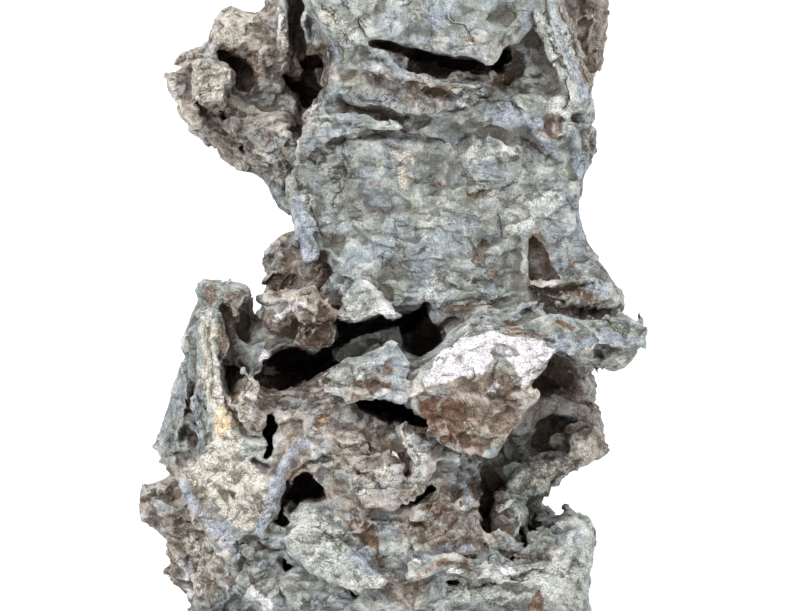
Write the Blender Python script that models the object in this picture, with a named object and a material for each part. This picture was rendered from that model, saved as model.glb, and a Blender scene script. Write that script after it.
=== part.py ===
"""Aquascape rock: one weathered, cavernous stone that stands upright on a broad foot.

Run it with: blender --background --python part.py

The stone is drawn on its broad face.  A point there is (across, up) in millimetres, and a depth says
how far behind the face plane a form lies, so a smaller depth is nearer the front.  The outlines of
the front are drawn on a grid, as the face is seen from straight in front, and seen() turns them into
millimetres.  Every form is a closed body: plates drawn as outlines, and ridges drawn as lines.  They
are fused into one skin, the hollows are cut out of it, it is roughened, and it is cut flat
underneath where it rests.
"""
import math
import random

import bmesh
import bpy
import numpy as np
from mathutils import Matrix, Vector
from mathutils.bvhtree import BVHTree

MM = 0.001

# Driving dimensions, in millimetres and degrees.
FACE_LEAN_DEG = 10.0
GRID_STEP = 0.3
SIGHT_DISTANCE = 1500.0
EYE_COLUMN = 400.0
EYE_ROW = 305.5
GROUND_ROW = 700.0
AXIS_DEPTH = 18.0
LINE_START_DEPTH = -200.0
LINE_SPACING = 2.0
RIDGE_SINK = 0.6
GROOVE_SINK = 0.3
TUBE_SIDES = 8
TUBE_END_SHARE = 0.45
CELL = 4.0
FUSE_VOXEL = 1.6
CUTTER_VOXEL = 1.3
SKIN_VOXEL = 1.5
FLAKE_COUNT = 620
FLAKE_LENGTH = 19.0
FLAKE_WIDTH = 10.0
FLAKE_THICKNESS = 4.2
FLAKE_TILT_DEG = 30.0
FLAKE_SINK = 0.5
EDGE_SINK = 2.4
FLAKE_CORNERS = 7
FLAKE_SEED = 7
TOWER_RIGHT = -44.0
TOWER_TOP = 130.0
FOLD_LEFT = 40.0
FOLD_FOOT = 165.0
DENT_COUNT = 130
DENT_RADIUS = 3.6
DENT_SEED = 21
LUMP_SIZE = 17.0
LUMP_HEIGHT = 2.4
GRAIN_SIZE = 6.0
GRAIN_HEIGHT = 1.6
TRIANGLES = 10300
FRONT_DEPTH = 24.0
FRONT_FADE = 20.0
FRONT_SHARE = 0.5
FRONT_WEIGHT = 0.02
GROUND_BLOCK = 400.0
MERGE_DISTANCE = 0.05

STONE_COLOR = (0.285, 0.300, 0.272, 1.0)
STONE_ROUGHNESS = 0.92


# ---------------------------------------------------------------- the drawing grid


def seen(depth, points):
    """Points in mm (across, up) of a form at a depth, from its (column, row) points on the grid."""
    step = GRID_STEP * (1.0 + depth / SIGHT_DISTANCE)
    eye_height = (GROUND_ROW - EYE_ROW) * GRID_STEP
    return [((column - EYE_COLUMN) * step, eye_height + (EYE_ROW - row) * step)
            for column, row in points]


# ---------------------------------------------------------------- outlines of the front, on the grid

PILLAR = seen(-18, [
    (331, 62), (323, 85), (306, 122), (299, 165), (290, 180), (293, 208), (300, 238), (318, 256),
    (330, 290), (343, 318), (372, 322), (395, 314), (430, 322), (480, 338), (540, 352), (588, 356),
    (588, 262), (579, 200), (590, 165), (592, 128), (591, 82), (578, 50), (566, 10), (560, -60),
    (330, -60)])
CROWN = seen(-30, [
    (295, -54), (300, -5), (318, 22), (333, 44), (346, 56), (365, 54), (400, 60), (430, 68),
    (470, 77), (500, 82), (509, 62), (516, 44), (530, 20), (535, -10), (526, -54), (492, -95),
    (427, -118), (340, -98)])
LIP = seen(-27, [
    (331, 62), (350, 58), (375, 62), (395, 72), (420, 80), (450, 88), (500, 92), (530, 90),
    (560, 95), (585, 105), (584, 137), (540, 130), (450, 120), (400, 113), (350, 103), (325, 85)])
FOLD = seen(-24, [
    (528, -45), (552, -45), (566, 20), (580, 50), (592, 78), (590, 100), (583, 120), (570, 110),
    (560, 80), (548, 40), (535, 10)])
SPINE = seen(15, [
    (552, -62), (588, -50), (608, 0), (609, 27), (602, 32), (601, 72), (589, 74), (565, 69),
    (549, 20)])
KNUCKLE = seen(5, [
    (570, 112), (586, 118), (597, 142), (591, 152), (590, 165), (575, 172), (560, 140)])
BEAK_UPPER = seen(-20, [
    (528, 238), (555, 236), (588, 240), (600, 253), (607, 264), (601, 276), (612, 281), (620, 303),
    (623, 313), (600, 318), (570, 313), (540, 303), (528, 282)])
BEAK_LOWER = seen(-25, [
    (441, 338), (470, 318), (500, 310), (540, 300), (570, 307), (605, 319), (638, 322), (646, 335),
    (645, 346), (634, 353), (632, 364), (618, 369), (600, 370), (582, 363), (560, 352), (530, 347),
    (500, 340), (470, 347)])
SLAB = seen(-33, [
    (452, 345), (480, 333), (495, 329), (512, 336), (540, 342), (558, 350), (545, 365), (530, 378),
    (520, 391), (534, 397), (526, 411), (522, 424), (507, 434), (499, 447), (494, 458), (484, 460),
    (466, 450), (440, 436), (424, 420), (414, 404), (414, 384), (424, 366)])
SLAB_ROOT = seen(-28, [
    (414, 385), (431, 351), (475, 341), (502, 348), (482, 385), (461, 422), (449, 436), (424, 420)])
BELLY = seen(-34, [
    (262, 397), (282, 397), (302, 387), (322, 374), (346, 361), (366, 356), (384, 344), (400, 349),
    (420, 361), (440, 380), (470, 440), (480, 470), (478, 520), (490, 545), (560, 538), (584, 566),
    (584, 620), (590, 668), (570, 757), (300, 757), (282, 690), (262, 622), (240, 592), (225, 562),
    (205, 532), (190, 502), (178, 480), (200, 440), (230, 410)])
TOWER = seen(-20, [
    (200, 300), (203, 286), (212, 281), (221, 284), (226, 330), (227, 395), (238, 420), (262, 440),
    (266, 470), (240, 500), (200, 490), (168, 470), (153, 447), (156, 437), (163, 410), (172, 395),
    (168, 388), (178, 365), (184, 345), (183, 328), (188, 317), (198, 311)])
TOWER_RIB = seen(-28, [
    (201, 303), (217, 297), (220, 340), (223, 380), (228, 400), (240, 430), (257, 444), (230, 470),
    (205, 439), (200, 400), (198, 350)])
TOWER_CAP = seen(-18, [
    (221, 284), (248, 285), (251, 292), (248, 300), (251, 320), (256, 332), (255, 346), (246, 356),
    (230, 366), (221, 340)])
SHARD = seen(-28, [
    (240, 385), (250, 378), (255, 392), (257, 425), (247, 430), (238, 415), (233, 400)])
BLOCK = seen(-22, [
    (265, 298), (276, 292), (292, 290), (318, 286), (324, 300), (332, 306), (337, 322), (336, 338),
    (328, 346), (310, 349), (292, 346), (272, 350), (258, 338), (264, 318)])
BLOCK_CUBE = seen(-27, [(298, 303), (330, 307), (334, 340), (312, 349), (297, 342)])
BLOCK_FOOT = seen(-20, [
    (262, 345), (272, 350), (270, 358), (255, 372), (246, 380), (241, 370), (250, 352), (256, 340)])
BLOCK_BACK = seen(5, [(265, 300), (335, 290), (335, 353), (300, 360), (264, 345)])
CHIN = seen(35, [
    (298, 230), (283, 237), (270, 246), (260, 262), (258, 272), (267, 281), (270, 303), (300, 320),
    (348, 320), (348, 228)])
LOBE = seen(45, [
    (214, 13), (226, 6), (238, 7), (253, 11), (263, 7), (277, -24), (303, -49), (361, -49),
    (361, 122), (348, 203), (300, 214), (280, 207), (271, 196), (271, 184), (261, 174), (240, 164),
    (221, 155), (203, 140), (182, 108), (172, 88), (163, 76), (166, 71), (182, 73), (181, 60),
    (194, 52), (204, 37), (207, 29), (212, 22)])
LOBE_KNOB = seen(25, [
    (195, 60), (215, 60), (233, 70), (233, 86), (221, 98), (190, 97), (190, 80)])
LOBE_RIB = seen(25, [(275, -34), (287, -34), (290, 57), (278, 57)])
LOBE_RIDGE = seen(28, [
    (221, 91), (245, 98), (262, 108), (280, 100), (300, 130), (300, 168), (262, 155), (230, 136)])
LOW_REAR = seen(35, [
    (185, 456), (165, 478), (150, 487), (140, 490), (137, 500), (142, 515), (152, 528), (168, 541),
    (167, 560), (166, 572), (172, 582), (182, 592), (192, 604), (205, 626), (211, 665), (205, 737),
    (335, 737), (335, 560), (270, 456)])
WALL = seen(15, [
    (540, 350), (588, 362), (592, 380), (597, 400), (606, 430), (600, 450), (586, 467), (572, 466),
    (562, 476), (548, 482), (545, 500), (515, 510), (480, 520), (470, 470), (500, 420), (530, 396)])
SHELF = seen(-8, [
    (508, 480), (520, 465), (545, 458), (562, 455), (570, 440), (580, 430), (603, 428), (600, 450),
    (585, 467), (570, 466), (560, 478), (545, 482), (530, 497), (510, 500), (498, 520), (490, 515),
    (500, 490)])
WEB = seen(-20, [
    (505, 500), (527, 505), (528, 520), (520, 528), (512, 545), (495, 550), (490, 540), (497, 520)])
FOOT = seen(-26, [
    (555, 524), (570, 519), (583, 517), (596, 530), (592, 560), (588, 580), (584, 611), (590, 666),
    (572, 754), (481, 754), (480, 620), (500, 580), (540, 570), (562, 550), (552, 535)])

CROWN_CRACK = seen(-20, [
    (362, 50), (385, 46), (400, 53), (430, 60), (460, 63), (483, 70), (500, 79), (508, 62),
    (515, 43), (527, 60), (523, 79), (508, 90), (470, 85), (440, 82), (418, 74), (398, 67),
    (380, 58)])
UNDER_PILLAR = seen(-20, [
    (332, 322), (372, 324), (392, 317), (415, 318), (432, 300), (441, 304), (437, 325), (420, 339),
    (408, 345), (396, 337), (386, 342), (371, 352), (349, 359), (327, 373), (317, 360), (322, 350),
    (335, 345), (338, 335)])
UNDER_BLOCK = seen(-25, [
    (252, 370), (264, 364), (283, 352), (322, 351), (346, 359), (330, 373), (302, 384), (281, 392),
    (264, 391), (254, 380)])
TOWER_CLEFT = seen(-25, [(224, 364), (240, 366), (243, 376), (238, 384), (232, 400), (226, 392)])
TOWER_HOLE = seen(-20, [(240, 310), (249, 307), (251, 322), (251, 343), (243, 344), (236, 334)])
EYE = seen(-34, [
    (348, 411), (352, 402), (364, 399), (385, 399), (400, 402), (412, 410), (424, 424), (438, 438),
    (430, 442), (415, 432), (400, 429), (378, 426), (362, 417)])
CAVE_LEFT = seen(-36, [
    (281, 488), (292, 479), (303, 478), (314, 487), (323, 500), (322, 508), (308, 511), (298, 507),
    (289, 515), (275, 533), (268, 531), (274, 512)])
CAVE_MID = seen(-36, [(424, 479), (438, 486), (436, 495), (424, 502), (414, 513), (409, 504), (417, 492)])
CAVE_BROWN = seen(-30, [
    (473, 480), (492, 478), (505, 490), (500, 505), (492, 520), (492, 535), (484, 538), (480, 520),
    (475, 500)])
CAVE_RIGHT = seen(-20, [(528, 503), (545, 498), (549, 510), (560, 517), (553, 528), (540, 530), (528, 520)])
PIT_RIGHT = seen(-26, [(514, 538), (522, 530), (532, 540), (530, 550), (518, 548)])
PIT_LEFT = seen(-36, [(277, 558), (285, 556), (294, 566), (305, 573), (303, 579), (291, 576), (280, 575)])
SLIT_LEFT = seen(-32, [(271, 412), (276, 421), (272, 440), (267, 458), (262, 458), (265, 435), (262, 419)])
LOBE_CAVE = seen(35, [
    (213, 45), (226, 45), (245, 53), (254, 61), (258, 80), (258, 95), (243, 96), (236, 88),
    (238, 78), (226, 62), (214, 59)])
LOBE_POCKET = seen(35, [
    (271, 75), (284, 72), (302, 82), (309, 71), (320, 85), (328, 80), (326, 95), (310, 111),
    (300, 111), (290, 98), (280, 88)])
LOBE_WINDOW = seen(40, [(309, 110), (317, 97), (328, 92), (325, 105), (316, 113)])
DENT_UPPER = seen(-20, [(540, 110), (556, 108), (566, 118), (566, 140), (556, 145), (542, 130)])
DENT_LOWER = seen(-20, [(527, 232), (540, 231), (548, 250), (553, 273), (538, 281), (527, 278)])

# ------------------------------------ outlines of the inside, the back and the sides, in mm

CORE = [(-28, 232), (48, 230), (54, 192), (53, 150), (55, 108), (49, 78), (44, 65), (42, 52), (51, 40),
        (52, 20), (50, -14), (-46, -14), (-54, 16), (-49, 40), (-50, 65), (-52, 90), (-50, 106),
        (-42, 118), (-32, 128), (-28, 150), (-28, 190)]
CROWN_PEAK = [(-20, 228), (-12, 241), (-2, 247), (9, 244), (20, 236), (26, 222), (0, 214)]
BACK_PILLAR = [(-52, 208), (-42, 224), (-26, 233), (-10, 230), (12, 220), (26, 200), (22, 176), (32, 154),
               (24, 128), (34, 104), (10, 92), (-30, 90), (-52, 100), (-48, 134), (-54, 160),
               (-48, 192)]
BACK_BELLY = [(-50, 96), (-26, 104), (8, 98), (34, 104), (46, 84), (60, 60), (56, 28), (50, 6),
              (36, -14), (-30, -14), (-44, 4), (-50, 26), (-42, 50), (-40, 68)]
BACK_LEDGE = [(-48, 150), (-18, 160), (8, 154), (26, 142), (8, 134), (-24, 138), (-46, 130)]
BACK_SHELF = [(-40, 92), (-10, 102), (22, 96), (44, 84), (30, 74), (-8, 80), (-38, 76)]
BACK_PLATE = [(-24, 226), (2, 234), (18, 214), (10, 186), (-14, 178), (-30, 198)]
BACK_BLADE = [(18, 68), (30, 84), (38, 62), (34, 34), (22, 20), (12, 44)]
SIDE_LEDGE = [(-26, 168), (-6, 176), (20, 170), (30, 156), (12, 148), (-14, 152)]
SIDE_PLATE = [(-14, 226), (6, 232), (26, 222), (30, 200), (10, 190), (-10, 200)]
SIDE_KNEE = [(-14, 40), (4, 47), (26, 42), (32, 24), (22, 4), (16, -14), (-8, -14), (-20, 6), (-22, 24)]
LEFT_KNEE = [(-18, 60), (4, 66), (28, 58), (34, 34), (26, 6), (14, -14), (-12, -14), (-22, 8), (-24, 30)]

# Lumps of the front, the back, the top and the foot: middle (across, depth, up) and radii in that order, in mm.
PILLAR_LUMPS = [
    ((14, -14, 138), (24, 8, 15)),
    ((-6, -15, 160), (17, 7, 11)),
    ((34, -14, 160), (15, 8, 12)),
    ((-12, -14, 128), (11, 8, 13)),
]
BELLY_LUMPS = [
    ((-20, -26, 70), (20, 11, 17)),
    ((2, -27, 52), (20, 10, 18)),
    ((-4, -24, 24), (26, 11, 20)),
    ((-44, -22, 66), (17, 11, 19)),
    ((2, -22, 92), (12, 9, 11)),
]
BACK_LUMPS = [
    ((-16, 60, 206), (24, 14, 22)),
    ((18, 64, 172), (22, 12, 26)),
    ((-4, 66, 126), (24, 12, 16)),
    ((36, 56, 118), (18, 14, 20)),
    ((-30, 66, 64), (26, 18, 22)),
    ((18, 68, 54), (26, 20, 20)),
    ((36, 58, 20), (20, 18, 26)),
    ((-20, 70, 14), (32, 15, 18)),
    ((4, 10, 228), (22, 26, 16)),
    ((-8, 34, 232), (14, 16, 13)),
    ((26, 30, 224), (14, 18, 12)),
]
FOOT_LUMPS = [
    ((-46, 8, 4), (17, 24, 18)),
    ((-58, 30, 0), (16, 18, 22)),
    ((50, 4, 2), (15, 20, 18)),
    ((54, 34, 0), (13, 18, 20)),
    ((10, -30, -2), (26, 11, 16)),
    ((-24, -26, 0), (18, 12, 17)),
]

# Caves of the back and the sides, each a cluster of rounded hollows, written like the lumps.
BACK_HOLLOWS = [
    ((-6, 82, 118), (13, 20, 8)),
    ((6, 78, 123), (9, 17, 7)),
    ((-17, 80, 112), (8, 15, 5)),
    ((-6, 90, 57), (9, 16, 11)),
    ((3, 88, 49), (8, 14, 7)),
    ((30, 74, 182), (13, 16, 5)),
    ((20, 70, 178), (8, 13, 6)),
    ((26, 86, 24), (8, 15, 11)),
    ((32, 82, 31), (6, 14, 6)),
    ((-38, 86, 92), (9, 14, 5)),
    ((-46, 80, 86), (6, 12, 6)),
    ((-24, 78, 160), (6, 15, 10)),
    ((-30, 76, 150), (5, 13, 5)),
]
SIDE_HOLLOWS = [
    ((62, 38, 92), (18, 8, 9)),
    ((60, 44, 101), (14, 6, 5)),
    ((64, 15, 138), (17, 7, 14)),
    ((62, 20, 124), (14, 6, 7)),
    ((64, 30, 168), (13, 9, 6)),
    ((60, 40, 205), (10, 9, 5)),
    ((-66, 22, 40), (14, 7, 9)),
    ((-70, 30, 32), (12, 6, 6)),
    ((-48, 40, 128), (14, 8, 7)),
]
# Low arches that lift the edge of the foot off the ground here and there.
FOOT_ARCHES = [
    ((-6, -38, -6), (12, 14, 12)),
    ((-34, -32, -8), (8, 12, 12)),
    ((62, 18, -6), (14, 9, 12)),
    ((30, 88, -6), (13, 16, 13)),
    ((-14, 92, -6), (10, 14, 11)),
    ((-72, 12, -6), (16, 9, 13)),
    ((34, -34, -9), (9, 12, 12)),
]

# Places that stay free of flakes: middle (across, up), reach and how deep they go, in mm.
BARE_SPOTS = [
    ((24, 94), 24, 0),
    ((66, 97), 8, 40),
    ((64, 190), 8, 40),
    ((4, 206), 26, 0),
    ((-76, 188), 15, 90),
    ((63, 79), 7, 60),
]

# ------------------------- lines on the broad face: half width in mm, depth in mm, and grid points

RIDGES = [
    (1.7, -30, [(318, 432), (305, 437), (293, 448), (283, 466), (277, 488), (273, 508), (266, 532)]),
    (1.9, -20, [(180, 478), (192, 500), (208, 524), (228, 552), (246, 580), (262, 603)]),
    (1.8, -25, [(345, 68), (372, 62), (396, 76), (430, 88), (480, 92)]),
    (1.8, -22, [(303, 130), (330, 118), (375, 124), (405, 132), (450, 128), (500, 124)]),
    (1.4, -22, [(350, 84), (380, 96), (410, 106), (446, 112)]),
    (2.0, -22, [(541, -20), (552, 30), (566, 66), (580, 98)]),
    (1.8, -20, [(505, 100), (525, 108), (545, 122), (552, 146), (550, 162)]),
    (1.6, -34, [(346, 399), (372, 392), (400, 396), (428, 412), (446, 430)]),
    (1.8, -22, [(440, 298), (470, 306), (494, 316)]),
    (1.5, -28, [(203, 310), (200, 350), (200, 395), (210, 438)]),
    (1.6, -18, [(184, 395), (180, 426), (192, 456)]),
    (1.8, 10, [(540, 398), (562, 398), (586, 412), (602, 430)]),
    (1.6, -20, [(368, 182), (390, 192), (420, 202), (456, 200)]),
    (1.5, -20, [(468, 222), (496, 212), (534, 220)]),
    (1.8, 44, [(252, 40), (258, 70), (272, 100)]),
    (1.8, 44, [(210, 100), (232, 126), (252, 146)]),
    (1.8, 30, [(166, 500), (192, 550), (218, 604)]),
    (1.7, -34, [(446, 460), (432, 496), (446, 542), (482, 570)]),
    (1.6, -36, [(328, 512), (366, 500), (400, 482)]),
    (1.6, -28, [(500, 572), (534, 578), (566, 564)]),
]
GROOVES = [
    (1.4, -18, [(338, 137), (364, 136), (400, 138), (450, 140)]),
    (1.2, -22, [(334, 98), (366, 108), (400, 124)]),
    (1.4, -20, [(357, 163), (378, 178), (396, 192), (420, 182), (452, 186)]),
    (1.3, -20, [(462, 194), (490, 190), (528, 188)]),
    (1.7, -24, [(528, 284), (545, 298), (572, 314), (606, 330)]),
    (1.5, -22, [(400, 80), (434, 86), (474, 92)]),
    (1.3, -20, [(500, 102), (528, 100), (545, 112), (548, 140)]),
    (1.5, -18, [(310, 207), (320, 220), (324, 234)]),
    (1.3, -20, [(321, 283), (321, 306)]),
    (1.2, -18, [(222, 300), (224, 350), (226, 395), (233, 416)]),
    (1.2, -22, [(197, 340), (194, 390), (204, 430), (218, 456)]),
    (1.6, -20, [(468, 246), (486, 258), (492, 280)]),
    (1.4, -34, [(425, 456), (414, 484), (410, 510)]),
    (1.4, -34, [(354, 458), (388, 474), (400, 510), (388, 552)]),
    (1.4, -32, [(334, 532), (338, 552), (328, 574)]),
    (1.3, 4, [(560, 452), (580, 446), (596, 442)]),
    (1.4, -24, [(228, 500), (254, 532), (268, 572)]),
]

# ---------------------------------------------------------------- making forms


def clear_scene():
    """Remove every object that the file starts with."""
    for item in list(bpy.data.objects):
        bpy.data.objects.remove(item, do_unlink=True)


def distance_to_outline(point, outline):
    """Shortest distance from a flat point to a closed outline, in mm."""
    nearest = math.inf
    for start, end in zip(outline, outline[1:] + outline[:1]):
        edge = (end[0] - start[0], end[1] - start[1])
        along = (point[0] - start[0]) * edge[0] + (point[1] - start[1]) * edge[1]
        share = min(max(along / (edge[0] ** 2 + edge[1] ** 2), 0.0), 1.0)
        foot = (start[0] + share * edge[0], start[1] + share * edge[1])
        nearest = min(nearest, math.hypot(point[0] - foot[0], point[1] - foot[1]))
    return nearest


def cut_into_cells(sheet, outline):
    """Cut a flat sheet along a square grid, so that its middle can be domed."""
    for axis in (0, 2):
        values = [point[min(axis, 1)] for point in outline]
        steps = int((max(values) - min(values)) / CELL)
        for step in range(1, steps + 1):
            origin = Vector((0.0, 0.0, 0.0))
            origin[axis] = min(values) + step * CELL
            normal = Vector((0.0, 0.0, 0.0))
            normal[axis] = 1.0
            parts = sheet.verts[:] + sheet.edges[:] + sheet.faces[:]
            bmesh.ops.bisect_plane(sheet, geom=parts, dist=1e-5, plane_co=origin, plane_no=normal)


def plate(body, outline, front, back, rim=5.0, slope=(0.0, 0.0), shrink=0.12, drift=(0.0, 0.0),
          turn=0.0):
    """Add a closed plate: an outline with rounded rims, from one depth to another.

    slope tilts its front across and up, shrink and drift narrow and shift its far side, and turn
    draws it as seen from that side of the stone instead of from the front.
    """
    sheet = bmesh.new()
    corners = [sheet.verts.new((across, 0.0, up)) for across, up in outline]
    sheet.faces.new(corners)
    bmesh.ops.triangulate(sheet, faces=sheet.faces[:], ngon_method="EAR_CLIP")
    cut_into_cells(sheet, outline)
    near = sheet.verts[:]
    grown = bmesh.ops.extrude_face_region(sheet, geom=sheet.faces[:], use_keep_orig=True)
    far = [item for item in grown["geom"] if isinstance(item, bmesh.types.BMVert)]
    middle = [sum(values) / len(outline) for values in zip(*outline)]
    for side, verts in (("near", near), ("far", far)):
        for vert in verts:
            across, up = vert.co.x, vert.co.z
            inward = min(distance_to_outline((across, up), outline) / rim, 1.0)
            curve = rim * (1.0 - math.sqrt(1.0 - (1.0 - inward) ** 2))
            tilt = slope[0] * (across - middle[0]) + slope[1] * (up - middle[1])
            if side == "near":
                vert.co.y = front + curve + tilt
            else:
                vert.co.y = back - curve + tilt * 0.5
                vert.co.x = across + shrink * (middle[0] - across) + drift[0]
                vert.co.z = up + shrink * (middle[1] - up) + drift[1]
    bmesh.ops.recalc_face_normals(sheet, faces=sheet.faces[:])
    pivot = Matrix.Translation((0.0, AXIS_DEPTH, 0.0))
    place = pivot @ Matrix.Rotation(math.radians(turn), 4, "Z") @ pivot.inverted()
    bmesh.ops.transform(sheet, matrix=Matrix.Scale(MM, 4) @ place, verts=sheet.verts[:])
    flat = bpy.data.meshes.new("plate")
    sheet.to_mesh(flat)
    sheet.free()
    body.from_mesh(flat)
    bpy.data.meshes.remove(flat)


def boulder(body, middle, radii, turn=(0.0, 0.0, 0.0)):
    """Add a rounded lump; middle is (across, depth, up) and radii are along those directions."""
    spin = Matrix.Rotation(math.radians(turn[2]), 4, "Z") @ Matrix.Rotation(math.radians(turn[0]), 4, "X")
    shape = Matrix.Diagonal((radii[0] * MM, radii[1] * MM, radii[2] * MM, 1.0))
    place = Matrix.Translation(Vector(middle) * MM) @ spin @ shape
    bmesh.ops.create_icosphere(body, subdivisions=3, radius=1.0, matrix=place)


def tube(body, points, radius):
    """Add a closed tube along points, with tapered ends."""
    rings = []
    for index, point in enumerate(points):
        ahead = points[min(index + 1, len(points) - 1)] - points[max(index - 1, 0)]
        frame = ahead.to_track_quat("Z", "Y").to_matrix()
        taper = TUBE_END_SHARE if index in (0, len(points) - 1) else 1.0
        ring = []
        for side in range(TUBE_SIDES):
            angle = 2.0 * math.pi * side / TUBE_SIDES
            offset = Vector((math.cos(angle), math.sin(angle), 0.0)) * radius * taper
            ring.append(body.verts.new(point + frame @ offset))
        rings.append(ring)
    for first, second in zip(rings, rings[1:]):
        for side in range(TUBE_SIDES):
            following = (side + 1) % TUBE_SIDES
            body.faces.new((first[side], first[following], second[following], second[side]))
    body.faces.new(rings[0][::-1])
    body.faces.new(rings[-1])


def foliation_at(point):
    """Direction that the stone's leaves run in: steep on the left tower, nearly level elsewhere."""
    across, up = point.x / MM, point.z / MM
    if across < TOWER_RIGHT and up < TOWER_TOP:
        return Vector((0.12, 0.2, 1.0))
    if across > FOLD_LEFT and up > FOLD_FOOT:
        return Vector((0.3, 0.2, -1.0))
    return Vector((1.0, 0.25, -0.22))


def is_bare(point):
    """Whether a point of the skin lies in a place that stays free of flakes."""
    for (across, up), reach, deepest in BARE_SPOTS:
        away = math.hypot(point.x / MM - across, point.z / MM - up)
        if away < reach and point.y / MM < deepest:
            return True
    return False


def add_flakes(body, skin):
    """Lay tilted flakes over the skin, long side along the foliation, so that it is stepped."""
    dice = random.Random(FLAKE_SEED)
    skin.faces.ensure_lookup_table()
    faces = skin.faces[:]
    for _ in range(FLAKE_COUNT):
        face = faces[dice.randrange(len(faces))]
        normal = face.normal.copy()
        along = foliation_at(face.calc_center_median())
        along = (along - normal * along.dot(normal)).normalized()
        tilt = Matrix.Rotation(math.radians(dice.uniform(-FLAKE_TILT_DEG, FLAKE_TILT_DEG)), 3, along)
        lift = tilt @ normal
        over = lift.cross(along)
        size = dice.uniform(0.55, 1.25)
        sink = FLAKE_SINK + EDGE_SINK * (1.0 - abs(normal.y))
        middle = face.calc_center_median() - normal * sink * MM
        corners = []
        for step in range(FLAKE_CORNERS):
            angle = 2.0 * math.pi * (step + dice.uniform(-0.3, 0.3)) / FLAKE_CORNERS
            reach = size * dice.uniform(0.75, 1.15) * MM / 2.0
            corners.append(middle + along * math.cos(angle) * FLAKE_LENGTH * reach
                           + over * math.sin(angle) * FLAKE_WIDTH * reach)
        half = lift * FLAKE_THICKNESS * MM / 2.0 * dice.uniform(0.7, 1.2)
        if is_bare(middle):
            continue
        top = [body.verts.new(corner + half) for corner in corners]
        base = [body.verts.new(corner - half) for corner in corners]
        body.faces.new(top)
        body.faces.new(base[::-1])
        for step in range(FLAKE_CORNERS):
            body.faces.new((top[step - 1], base[step - 1], base[step], top[step]))


def add_dents(cutter, skin):
    """Sink small rounded dents over the whole skin."""
    dice = random.Random(DENT_SEED)
    skin.faces.ensure_lookup_table()
    faces = skin.faces[:]
    for _ in range(DENT_COUNT):
        face = faces[dice.randrange(len(faces))]
        middle = face.calc_center_median() / MM
        size = DENT_RADIUS * dice.uniform(0.5, 1.2)
        radii = (size * dice.uniform(0.9, 2.2), size * dice.uniform(0.9, 1.6), size * 0.8)
        boulder(cutter, middle, radii, turn=(dice.uniform(-30, 30), 0, dice.uniform(-40, 40)))


def lay_on_face(tree, line, sink):
    """Close points along a line, laid on the front of the stone and sunk into it, in metres."""
    laid = []
    for start, end in zip(line, line[1:]):
        steps = max(1, round(math.dist(start, end) / LINE_SPACING))
        for step in range(steps):
            share = step / steps
            across = start[0] + share * (end[0] - start[0])
            up = start[1] + share * (end[1] - start[1])
            start_point = Vector((across, LINE_START_DEPTH, up)) * MM
            hit = tree.ray_cast(start_point, Vector((0.0, 1.0, 0.0)))[0]
            if hit is not None:
                laid.append(hit + Vector((0.0, sink * MM, 0.0)))
    smooth = [laid[0]]
    for before, point, after in zip(laid, laid[1:], laid[2:]):
        smooth.append((before + point * 2.0 + after) / 4.0)
    smooth.append(laid[-1])
    return smooth


# ---------------------------------------------------------------- the masses of the stone


def add_pillar(body):
    """The upright upper half: a broad, nearly flat face with folded bands down its right side."""
    plate(body, CORE, front=20, back=58, rim=12, shrink=0.1)
    plate(body, PILLAR, front=-18, back=45, rim=7, slope=(0.02, 0.03), shrink=0.06)
    plate(body, LIP, front=-26, back=5, rim=3, slope=(0.05, 0.1))
    plate(body, FOLD, front=-26, back=15, rim=3, slope=(0.3, 0.0))
    plate(body, KNUCKLE, front=2, back=40, rim=4)
    for middle, radii in PILLAR_LUMPS:
        boulder(body, middle, radii)


def add_crown(body):
    """The bulging block that overhangs the pillar, and the rough spine behind its right side."""
    plate(body, CROWN, front=-33, back=40, rim=7, slope=(0.05, 0.16), shrink=0.1)
    plate(body, CROWN_PEAK, front=-12, back=44, rim=9, slope=(0.0, 0.3))
    plate(body, SPINE, front=10, back=52, rim=4, shrink=0.1)


def add_rear_lobe(body):
    """The craggy lobe that stands out behind the pillar's upper left, and the chin below it."""
    plate(body, LOBE, front=46, back=78, rim=7, slope=(-0.1, 0.0), shrink=0.14, drift=(4, 0))
    plate(body, LOBE_KNOB, front=34, back=58, rim=4)
    plate(body, LOBE_RIB, front=36, back=60, rim=2)
    plate(body, LOBE_RIDGE, front=36, back=62, rim=4, slope=(0.0, 0.2))
    plate(body, CHIN, front=30, back=68, rim=5, shrink=0.1, drift=(5, 2))


def add_beak(body):
    """The double ledge that juts out to the right, and the sharp slab that hangs below it."""
    plate(body, BEAK_UPPER, front=-20, back=30, rim=4, slope=(0.2, 0.1), shrink=0.14, drift=(-4, 0))
    plate(body, BEAK_LOWER, front=-27, back=25, rim=4, slope=(0.25, -0.1), shrink=0.14, drift=(-5, 0))
    plate(body, SLAB, front=-40, back=-27, rim=1.2, slope=(0.05, -0.12), shrink=0.05)
    plate(body, SLAB_ROOT, front=-30, back=10, rim=4, slope=(0.0, -0.1), shrink=0.1)


def add_belly(body):
    """The wide lower mass that bulges forward."""
    plate(body, BELLY, front=-34, back=45, rim=13, slope=(0.04, 0.1), shrink=0.06)
    for middle, radii in BELLY_LUMPS:
        boulder(body, middle, radii)


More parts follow.
